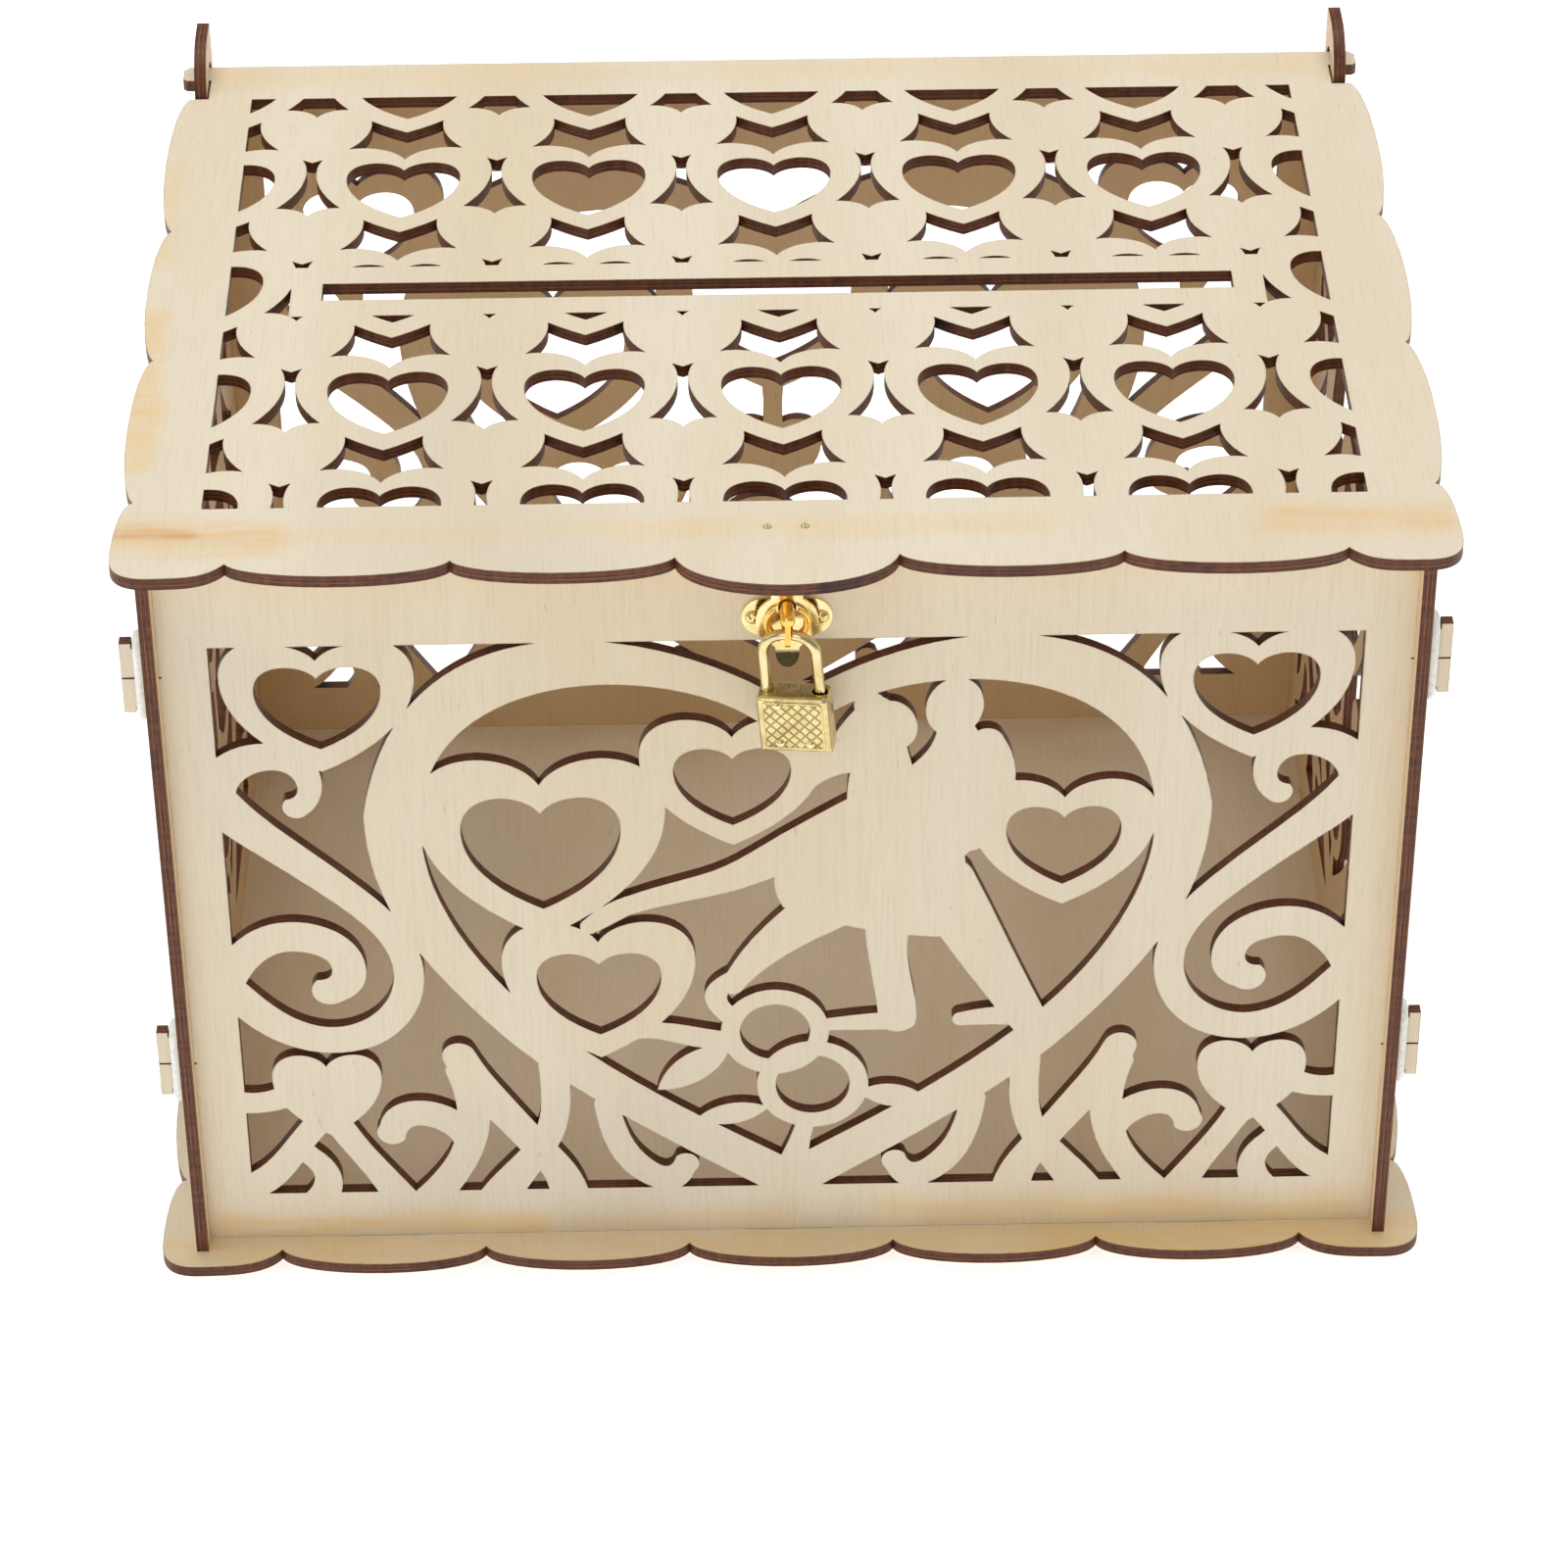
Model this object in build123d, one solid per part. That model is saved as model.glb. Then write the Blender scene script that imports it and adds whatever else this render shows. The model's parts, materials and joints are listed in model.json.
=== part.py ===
from build123d import *
import os
from math import cos, hypot, radians, sin

os.makedirs("parts", exist_ok=True)

# Wedding card box cut from three-ply sheet, millimetres, +Z up, front towards -Y.
# The origin is the centre of the base plate's underside.

# ---- driving dimensions -------------------------------------------------------------
PLY = 3.0                 # sheet thickness
TOP_Z = 210.0             # top face of the closed lid
WALL_TOP = TOP_Z - PLY    # top edges of the walls, where the lid rests
CUSP_PITCH = 50.0         # distance between two points of the scalloped edge
SIDE_DEPTH = 226.0        # front-to-back length of a side panel
WALL_INSET = 5.0          # how far the front and back panels sit inside the side panels
BOX_HALF_W = 146.0        # outer face of a side panel
SHELL_HALF_W = BOX_HALF_W - PLY
FRONT_Y = -SIDE_DEPTH / 2 + WALL_INSET
FIT = 0.1                 # clearance of a tab in its slot, each side

LID_CUSP_Y = -118.0       # line of the lid's front points
LID_BACK_Y = 108.5
LID_HALF_W = 147.2        # half width at the points of the side scallops
LID_BULGE = 3.7           # how far a side scallop stands out
LID_SCALLOP = 5.4
TONGUE = 11.4             # depth of the middle scallop, over the hasp
BASE_CUSP_Y = -112.8
BASE_HALF_W = 150.4
BASE_BULGE = 4.2
BASE_SCALLOP = 6.0
CORNER_R = 9.0

PIVOT_Y = 105.0           # lid hinge: a flat tab turning in a round hole
PIVOT_Z = TOP_Z - PLY / 2
PIVOT_TAB = 7.0           # width of the tab
PIVOT_OUT = 3.7           # how far the tab shows outside the side panel
PIVOT_HOLE_R = 4.4
EAR_R = 12.4
NOTCH_R = 13.1            # clearance around the ear, cut in the lid
BACK_TOP = 203.5          # the back panel stops lower, so that the lid's edge can turn

WINDOW_HALF_W = 131.6
WINDOW_LOW = 17.1
WINDOW_HIGH = 180.3
LATTICE_HALF_W = 131.5
LATTICE_FRONT = LID_CUSP_Y + 22.2
LATTICE_BACK = LID_CUSP_Y + 209.5
HEART_PITCH_X = 45.8
HEART_PITCH_Y = 48.7
HEART_W = 14.0            # half width of a lattice heart
HEART_H = 26.5
RING_W = 21.7             # half width of the ring around a lattice heart
RING_H = 41.0
SLOT_HALF_W = 109.0
SLOT_FRONT = LID_CUSP_Y + 111.4
SLOT_BACK = LID_CUSP_Y + 119.0

TAB_Z = (58.7, 172.3)     # middles of the side tabs
TAB_H = 19.0
TAB_OUT = 5.5
TAB_HEAD = 2.7
NECK_CUT = 1.4
RING_WIRE = 2.2
FOOT_X = (-100.0, 0.0, 100.0)
FOOT_Y = (-60.0, 60.0)
FOOT_W = 20.0

MADE = []


# ---- shared outlines ----------------------------------------------------------------
def keep(name, part):
    """Write one sub-part to its own STEP file."""
    part.label = name
    export_step(part, f"parts/{name}.step")
    MADE.append(name)


def heart(cx, tip, half_w, height):
    """A heart with its tip down, from four curves."""
    def at(u, v):
        return (cx + u * half_w, tip + v * height)

    edges = []
    for side in (1, -1):
        edges.append(Bezier(at(0, 0.86), at(0.2 * side, 1.064), at(side, 1.079), at(side, 0.717)))
        edges.append(Bezier(at(side, 0.717), at(side, 0.42), at(0.6 * side, 0.17), at(0, 0)))
    return make_face(edges)


def ribbon(*stations, cap=1.0):
    """A curved strip through stations of (x, y, width), with round ends that cap flattens."""
    left, right = [], []
    last = len(stations) - 1
    for i, (x, y, width) in enumerate(stations):
        ahead = stations[min(i + 1, last)]
        behind = stations[max(i - 1, 0)]
        dx, dy = ahead[0] - behind[0], ahead[1] - behind[1]
        size = hypot(dx, dy)
        nx, ny = -dy / size * width / 2, dx / size * width / 2
        left.append((x + nx, y + ny))
        right.append((x - nx, y - ny))
    start = end_cap(stations[1], stations[0], cap)
    end = end_cap(stations[-2], stations[-1], cap)
    return make_face([
        Spline(*left),
        ThreePointArc(left[-1], end, right[-1]),
        Spline(*reversed(right)),
        ThreePointArc(right[0], start, left[0]),
    ])


def end_cap(before, tip, cap):
    """The outermost point of a ribbon's end."""
    dx, dy = tip[0] - before[0], tip[1] - before[1]
    reach = cap * tip[2] / 2 / hypot(dx, dy)
    return (tip[0] + dx * reach, tip[1] + dy * reach)


def leaf(x0, y0, x1, y1, width):
    """A pointed leaf from one end to the other, from two arcs."""
    mx, my = (x0 + x1) / 2, (y0 + y1) / 2
    size = hypot(x1 - x0, y1 - y0)
    nx, ny = -(y1 - y0) / size * width / 2, (x1 - x0) / size * width / 2
    return make_face([
        ThreePointArc((x0, y0), (mx + nx, my + ny), (x1, y1)),
        ThreePointArc((x1, y1), (mx - nx, my - ny), (x0, y0)),
    ])


def block(x0, y0, x1, y1):
    """An upright rectangle between two corners."""
    return Pos((x0 + x1) / 2, (y0 + y1) / 2) * Rectangle(x1 - x0, y1 - y0)


def disc(x, y, r):
    """A filled circle."""
    return Pos(x, y) * Circle(r)


def hoop(x, y, r, width):
    """A flat ring."""
    return disc(x, y, r) - disc(x, y, r - width)


def mirrored(shapes):
    """The same shapes on the other side of the middle."""
    return [mirror(shape, about=Plane.YZ) for shape in shapes]


def upright(sketch, y_front):
    """Extrude an (x, z) outline into a wall whose front face is at y_front."""
    plane = Plane(origin=(0, y_front + PLY, 0), x_dir=(1, 0, 0), z_dir=(0, -1, 0))
    return extrude(plane * sketch, amount=PLY)


def sideways(sketch, x_low):
    """Extrude a (y, z) outline into a wall whose lower-x face is at x_low."""
    plane = Plane(origin=(x_low, 0, 0), x_dir=(0, 1, 0), z_dir=(1, 0, 0))
    return extrude(plane * sketch, amount=PLY)


# ---- scalloped plates ---------------------------------------------------------------
def scallop(start, end, depth):
    """One bulge of a scalloped edge, to the right of the way from start to end."""
    dx, dy = end[0] - start[0], end[1] - start[1]
    size = hypot(dx, dy)
    ox, oy = dy / size * depth * 4 / 3, -dx / size * depth * 4 / 3
    lead = 0.09
    return Bezier(
        start,
        (start[0] + dx * lead + ox, start[1] + dy * lead + oy),
        (end[0] - dx * lead + ox, end[1] - dy * lead + oy),
        end,
    )


def rounded_corner(start, end, bulge_x, bulge_y):
    """The big bulge around a plate's corner, from its long edge to its side edge."""
    way_x = 1 if end[0] > start[0] else -1
    way_y = 1 if end[1] > start[1] else -1
    out_x, out_y = end[0] + way_x * bulge_x, start[1] - way_y * bulge_y
    mid_a = (out_x - way_x * CORNER_R, out_y)
    mid_b = (out_x, out_y + way_y * CORNER_R)
    return [
        Bezier(start, (start[0] + way_x * 4.0, out_y), (mid_a[0] - way_x * 8.0, out_y), mid_a),
        Bezier(mid_a, (mid_a[0] + way_x * 6.0, out_y), (out_x, mid_b[1] - way_y * 6.0), mid_b),
        Bezier(mid_b, (out_x, mid_b[1] + way_y * 4.0), (out_x, end[1] - way_y * 1.5), end),
    ]


def lid_outline():
    """The lid: seven front scallops, scalloped sides, and a hinge tab at each back corner."""
    front = [(k * CUSP_PITCH + CUSP_PITCH / 2, LID_CUSP_Y) for k in range(-3, 3)]
    side_y = [-92.8, -32.4, 26.6]
    wide_end = PIVOT_Y - NOTCH_R
    narrow = SHELL_HALF_W - 0.5
    tab_x = BOX_HALF_W + PIVOT_OUT
    tab_y = PIVOT_Y - PIVOT_TAB / 2
    edges = []
    for i in range(5):
        edges.append(scallop(front[i], front[i + 1], TONGUE if i == 2 else LID_SCALLOP))
    for side in (1, -1):
        corner = (side * 125.0, LID_CUSP_Y)
        edges += rounded_corner(corner, (side * LID_HALF_W, side_y[0]), LID_BULGE, LID_SCALLOP)
        stops = [(side * LID_HALF_W, y) for y in side_y] + [(side * LID_HALF_W, wide_end)]
        for a, b in zip(stops, stops[1:]):
            edges.append(scallop(a, b, LID_BULGE) if side == 1 else scallop(b, a, LID_BULGE))
        edges.append(Line(stops[-1], (side * narrow, wide_end)))
        edges.append(Line((side * narrow, wide_end), (side * narrow, tab_y)))
        edges.append(Line((side * narrow, tab_y), (side * (tab_x - 1.0), tab_y)))
        edges.append(Line((side * (tab_x - 1.0), tab_y), (side * tab_x, tab_y + 1.0)))
        edges.append(Line((side * tab_x, tab_y + 1.0), (side * tab_x, LID_BACK_Y - 1.5)))
        edges.append(Line((side * tab_x, LID_BACK_Y - 1.5), (side * (tab_x - 1.5), LID_BACK_Y)))
    edges.append(Line((-tab_x + 1.5, LID_BACK_Y), (tab_x - 1.5, LID_BACK_Y)))
    return make_face(edges)


def base_outline():
    """The base plate: scallops on all four sides."""
    xs = [k * CUSP_PITCH + CUSP_PITCH / 2 for k in range(-3, 3)]
    ys = [-86.0, -28.7, 28.7, 86.0]
    edges = []
    for a, b in zip(xs, xs[1:]):
        edges.append(scallop((a, BASE_CUSP_Y), (b, BASE_CUSP_Y), BASE_SCALLOP))
        edges.append(scallop((b, -BASE_CUSP_Y), (a, -BASE_CUSP_Y), BASE_SCALLOP))
    for a, b in zip(ys, ys[1:]):
        edges.append(scallop((BASE_HALF_W, a), (BASE_HALF_W, b), BASE_BULGE))
        edges.append(scallop((-BASE_HALF_W, b), (-BASE_HALF_W, a), BASE_BULGE))
    for side in (1, -1):
        for end in (1, -1):
            start = (side * 125.0, end * -BASE_CUSP_Y)
            stop = (side * BASE_HALF_W, end * 86.0)
            edges += rounded_corner(start, stop, BASE_BULGE, BASE_SCALLOP)
    return make_face(edges)


def lid_lattice():
    """What is cut out of the lid: all of the window that no heart or bar covers."""
    window = block(-LATTICE_HALF_W, LATTICE_FRONT, LATTICE_HALF_W, LATTICE_BACK)
    solid, holes = [], []
    first_tip = LID_CUSP_Y + 3.6
    for row in range(6):
        ring_tip = first_tip + row * HEART_PITCH_Y
        solid_tip = ring_tip - 21.5
        for column in range(-3, 4):
            cx = column * HEART_PITCH_X
            if row < 5:
                solid.append(heart(cx, ring_tip - 6.9, RING_W, RING_H))
                holes.append(heart(cx, ring_tip, HEART_W, HEART_H))
            solid.append(heart(cx + HEART_PITCH_X / 2, solid_tip, HEART_W, HEART_H))
        solid.append(heart(-3.5 * HEART_PITCH_X, solid_tip, HEART_W, HEART_H))
    bar = block(-116.5, LID_CUSP_Y + 104.2, 116.5, LID_CUSP_Y + 126.6)
    cut = window
    for shape in solid:
        cut = cut - shape
    for hole in holes:
        cut = cut + (window & hole)
    cut = cut - bar
    return cut


def lid_panel():
    """The lid: outline less lattice, card slot and two screw holes."""
    slot = block(-SLOT_HALF_W, SLOT_FRONT, SLOT_HALF_W, SLOT_BACK)
    flat = Sketch() + lid_outline()
    flat = flat - lid_lattice() - slot
    for x in (-HASP_SCREW_X, HASP_SCREW_X):
        flat = flat - disc(x, HASP_SCREW_Y, HASP_SCREW_R)
    return Pos(0, 0, WALL_TOP) * extrude(flat, amount=PLY)


def base_plate():
    """The base plate with a slot for every foot of the walls."""
    flat = Sketch() + base_outline()
    wall_y = -FRONT_Y - PLY / 2
    for x in FOOT_X:
        for y in (-wall_y, wall_y):
            flat = flat - Pos(x, y) * Rectangle(FOOT_W + 2 * FIT, PLY + 2 * FIT)
    for y in FOOT_Y:
        for x in (-BOX_HALF_W + PLY / 2, BOX_HALF_W - PLY / 2):
            flat = flat - Pos(x, y) * Rectangle(PLY + 2 * FIT, FOOT_W + 2 * FIT)
    return extrude(flat, amount=PLY)


# ---- fretwork of the walls ----------------------------------------------------------
RING_HEARTS = (           # x of the middle, outer tip, outer half width and height, hole tip, w, h
    (-57.7, 95.5, 29.2, 52.0, 104.0, 18.6, 32.3),
    (-12.9, 121.9, 21.5, 36.2, 127.8, 13.6, 21.9),
    (-45.2, 58.5, 23.0, 41.0, 65.6, 14.8, 24.5),
    (64.3, 103.0, 21.8, 36.4, 109.0, 13.4, 22.5),
)
CORNER_HEART = (-107.4, 145.0, 22.3, 37.0, 151.5, 14.5, 22.9)


def ring_hearts(rows):
    """The outlines and the holes of several heart rings."""
    outer = [heart(x, tip, w, h) for x, tip, w, h, _, _, _ in rows]
    inner = [heart(x, tip, w, h) for x, _, _, _, tip, w, h in rows]
    return outer, inner


def corner_scroll():
    """Left side: a curl beside the corner heart, and a long stem ending in a spiral."""
    curl = ribbon(
        (-114.0, 135.0, 6.5), (-110.9, 138.5, 5.6), (-112.5, 146.5, 7.0),
        (-122.0, 149.3, 8.0), (-131.0, 143.5, 9.5), (-132.5, 137.0, 12.0),
    )
    stem = ribbon(
        (-133.0, 137.5, 11.0), (-127.5, 131.0, 10.0), (-115.5, 120.0, 8.6), (-103.0, 108.5, 7.8),
        (-94.5, 98.5, 7.4), (-90.4, 87.5, 7.2), (-92.2, 76.0, 7.6), (-99.4, 67.8, 8.2),
        (-109.5, 65.2, 8.0), (-120.0, 68.4, 8.4), (-128.4, 75.6, 8.6), (-133.5, 82.0, 8.0),
    )
    spiral = ribbon(
        (-134.0, 80.5, 8.0), (-129.8, 90.0, 8.6), (-121.4, 96.3, 8.8), (-111.8, 95.8, 8.8),
        (-105.6, 91.0, 8.2), (-104.6, 84.4, 8.2), (-109.3, 80.4, 8.6),
    )
    return [curl, stem, spiral]


def corner_flourish():
    """Left side: a solid heart under the scroll, and leaning stems with curled feet beside it."""
    sprig = [
        heart(-111.5, 35.5, 13.2, 25.0),
        ribbon((-111.5, 44.0, 7.0), (-106.5, 33.5, 6.6), (-100.0, 23.0, 7.0), (-95.0, 14.0, 9.0)),
        ribbon((-111.5, 42.0, 7.0), (-119.0, 33.0, 6.6), (-125.0, 24.5, 7.4), (-134.0, 18.5, 8.0)),
        ribbon((-134.0, 46.5, 7.0), (-128.5, 46.0, 6.4), (-121.5, 48.0, 7.0)),
        ribbon((-117.5, 29.5, 6.0), (-113.0, 22.5, 6.6), (-116.0, 14.0, 9.0)),
    ]
    stems = [
        ribbon((-79.5, 59.5, 8.2), (-76.5, 53.0, 8.6), (-70.0, 43.0, 8.4), (-62.0, 31.5, 8.0),
               (-56.0, 22.0, 8.6), (-54.0, 13.5, 10.0)),
        ribbon((-57.0, 56.0, 7.0), (-56.6, 46.0, 7.2), (-58.5, 35.0, 7.0), (-64.5, 25.0, 8.0),
               (-72.0, 13.5, 10.0)),
        ribbon((-79.0, 55.0, 8.0), (-76.6, 42.0, 8.0), (-78.6, 30.0, 7.6), (-84.0, 20.0, 8.0),
               (-89.0, 13.5, 9.0)),
        ribbon((-44.5, 44.0, 6.0), (-42.0, 33.0, 6.6), (-36.5, 23.6, 7.2), (-30.0, 20.0, 7.6),
               (-25.5, 24.5, 6.6)),
        ribbon((-79.0, 33.0, 7.0), (-85.5, 41.0, 8.0), (-92.5, 41.5, 8.0), (-96.5, 36.0, 7.6)),
    ]
    return sprig + stems


def two_rings():
    """A pair of linked wedding rings in the bottom of the big heart, held by leaves."""
    return [
        hoop(-3.5, 65.5, 13.0, 4.6),
        hoop(5.5, 49.0, 13.5, 4.6),
        ribbon((0.0, 21.0, 9.0), (2.0, 30.0, 5.5), (4.0, 38.0, 4.5)),
        leaf(-14.0, 62.0, -32.0, 48.0, 8.5),
        leaf(16.5, 46.5, 33.0, 44.0, 7.0),
        leaf(-5.0, 42.0, -23.0, 38.5, 6.5),
        ribbon((-16.0, 63.5, 5.0), (-25.0, 65.0, 6.0), (-33.0, 66.5, 5.0), (-41.0, 64.0, 4.0)),
    ]


def dancing_pair():
    """A plain silhouette of two dancers, one leaning back on the other's arm."""
    heads = [
        Pos(38.4, 160.6) * Rot(0, 0, -12) * Ellipse(6.6, 8.4),
        Pos(24.3, 155.8) * Rot(0, 0, 16) * Ellipse(5.5, 7.0),
        disc(18.9, 161.6, 3.7),
    ]
    trunk = [
        ribbon((38.4, 156.0, 8.0), (39.0, 147.0, 14.0), (34.5, 136.0, 22.0), (32.0, 126.0, 25.0)),
        ribbon((24.0, 151.0, 7.0), (22.0, 144.0, 14.0), (22.5, 134.0, 18.0), (24.0, 124.0, 24.0)),
        ribbon((29.0, 132.0, 28.0), (25.0, 120.0, 36.0), (19.5, 108.0, 46.0), (17.0, 98.5, 38.0), cap=0.1),
        ribbon((46.0, 150.5, 8.0), (48.6, 143.0, 8.0), (47.0, 133.0, 9.0), (42.0, 124.0, 10.0)),
    ]
    arms = [
        ribbon((22.0, 134.0, 10.0), (10.0, 126.0, 11.0), (-2.0, 118.5, 10.0), (-14.0, 112.0, 7.6),
               (-27.0, 108.0, 6.2), (-39.0, 104.0, 5.2)),
        ribbon((-37.5, 104.8, 5.2), (-43.0, 101.5, 5.6), (-47.0, 98.5, 4.6)),
        ribbon((21.0, 146.0, 9.0), (12.0, 145.5, 7.0), (4.0, 141.0, 7.0)),
    ]
    legs = [
        ribbon((36.0, 110.0, 16.0), (45.0, 91.5, 13.6), (53.2, 75.5, 10.6), (58.0, 66.5, 9.0)),
        ribbon((25.5, 104.0, 14.0), (23.2, 91.0, 9.6), (24.8, 79.0, 9.2), (25.8, 69.5, 9.2)),
        ribbon((27.6, 68.4, 5.4), (20.0, 68.2, 5.2), (9.6, 67.6, 3.8)),
        ribbon((60.0, 68.6, 6.0), (50.0, 69.4, 5.6), (41.0, 68.6, 4.2)),
        ribbon((9.0, 103.0, 14.0), (0.0, 96.0, 11.0), (-8.0, 88.0, 8.0), (-13.5, 80.0, 5.6)),
        ribbon((-12.8, 82.0, 5.6), (-17.5, 77.0, 5.4), (-14.5, 71.0, 5.4)),
    ]
    veil = [
        ribbon((9.5, 147.0, 3.0), (14.5, 153.5, 6.5), (20.5, 160.0, 8.0)),
        ribbon((14.0, 148.0, 6.0), (21.0, 154.0, 8.0)),
    ]
    return heads + trunk + arms + legs + veil


def heart_band(notch, top_pull, side_pull, widest, flank):
    """A large heart whose long flanks run through the given points down to the tip."""
    edges = []
    for side in (1, -1):
        def at(point):
            return (side * point[0], point[1])
        low = [at(point) for point in [widest] + flank]
        edges.append(Bezier((0, notch), at(top_pull), at(side_pull), at(widest)))
        edges.append(Spline(*low, tangents=[(0, -1), (-side, -0.66)]))
    return make_face(edges)


def big_heart():
    """The band of the big heart, as its outline and its opening."""
    outside = heart_band(162.8, (31.6, 187.1), (88.8, 195.3), (98.7, 132.0),
                         [(92.0, 100.0), (80.0, 80.0), (57.5, 54.2), (30.0, 32.5), (0, 12.0)])
    opening = heart_band(150.0, (17.1, 176.6), (85.5, 178.7), (85.5, 127.3),
                         [(82.2, 107.5), (67.8, 80.6), (50.4, 61.8), (27.5, 43.6), (0, 25.4)])
    return outside, opening


def lobe_gap(x):
    """The small gap between a corner heart's two lobes and the top of the window."""
    top = WINDOW_HIGH
    tip = (x, top - 3.9)
    return make_face([
        Line((x + 6.9, top), (x - 6.9, top)),
        ThreePointArc((x - 6.9, top), (x - 2.6, top - 1.5), tip),
        ThreePointArc(tip, (x + 2.6, top - 1.5), (x + 6.9, top)),
    ])


def fret_cutout(figures):
    """What is cut out of the front or back window around the given figures."""
    window = block(-WINDOW_HALF_W, WINDOW_LOW, WINDOW_HALF_W, WINDOW_HIGH)
    outside, opening = big_heart()
    corner_outer, corner_inner = ring_hearts([CORNER_HEART])
    left = corner_outer + corner_scroll() + corner_flourish()
    cut = window - outside + opening
    for shape in left + mirrored(left) + figures[0]:
        cut = cut - shape
    gap = [lobe_gap(CORNER_HEART[0])]
    for hole in corner_inner + mirrored(corner_inner) + figures[1] + gap + mirrored(gap):
        cut = cut + hole
    return cut


def wall_outline(top):
    """Front or back wall: feet below, and two notched tabs on each side."""
    flat = block(-SHELL_HALF_W, PLY, SHELL_HALF_W, top)
    for x in FOOT_X:
        flat = flat + block(x - FOOT_W / 2, 0.0, x + FOOT_W / 2, PLY)
    reach = BOX_HALF_W + TAB_OUT
    head = reach - TAB_HEAD
    for side in (1, -1):
        for z in TAB_Z:
            low, high = z - TAB_H / 2, z + TAB_H / 2
            root = SHELL_HALF_W - 1.0
            flat = flat + block(min(side * root, side * reach), low, max(side * root, side * reach), high)
            neck = (min(side * BOX_HALF_W, side * head), max(side * BOX_HALF_W, side * head))
            flat = flat - block(neck[0], low, neck[1], low + NECK_CUT)
            flat = flat - block(neck[0], high - NECK_CUT, neck[1], high)
            slit = sorted((side * (SHELL_HALF_W - 0.6), side * (reach + 1.0)))
            flat = flat - block(slit[0], z - 0.2, slit[1], z + 0.2)
    return flat


def front_panel():
    """The front wall: hearts, rings and dancers, with a notch for the hasp's bracket."""
    outer, inner = ring_hearts(RING_HEARTS)
    flat = wall_outline(WALL_TOP)
    flat = flat - fret_cutout((outer + two_rings() + dancing_pair(), inner))
    flat = flat - block(-BRACKET_HALF_W - 1.5, WALL_TOP - 4.6, BRACKET_HALF_W + 1.5, WALL_TOP)
    for x in (-STAPLE_SCREW_X, STAPLE_SCREW_X):
        flat = flat - disc(x, PLATE_Z, STAPLE_SCREW_R)
    return upright(flat, FRONT_Y)


def back_figures():
    """Heart rings on both sides of a middle one, over the linked rings."""
    rows = [RING_HEARTS[0], RING_HEARTS[2]]
    rows += [(-x, a, b, c, d, e, f) for x, a, b, c, d, e, f in rows]
    rows.append((0.0, 112.0, 31.0, 50.0, 120.0, 21.0, 32.0))
    outer, inner = ring_hearts(rows)
    outer.append(heart(0, 79.0, 13.0, 24.0))
    outer.append(ribbon((-29.0, 94.0, 5.0), (-14.0, 97.5, 6.0), (0.0, 98.0, 7.0), (14.0, 97.5, 6.0),
                        (29.0, 94.0, 5.0)))
    outer.append(ribbon((0.0, 98.0, 6.0), (0.0, 106.0, 5.0), (0.0, 115.0, 6.0)))
    return outer, inner


def back_panel():
    """The back wall: the same big heart, with hearts in place of the dancers."""
    outer, inner = back_figures()
    flat = wall_outline(BACK_TOP)
    flat = flat - fret_cutout((outer + two_rings(), inner))
    return upright(flat, -FRONT_Y - PLY)


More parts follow.
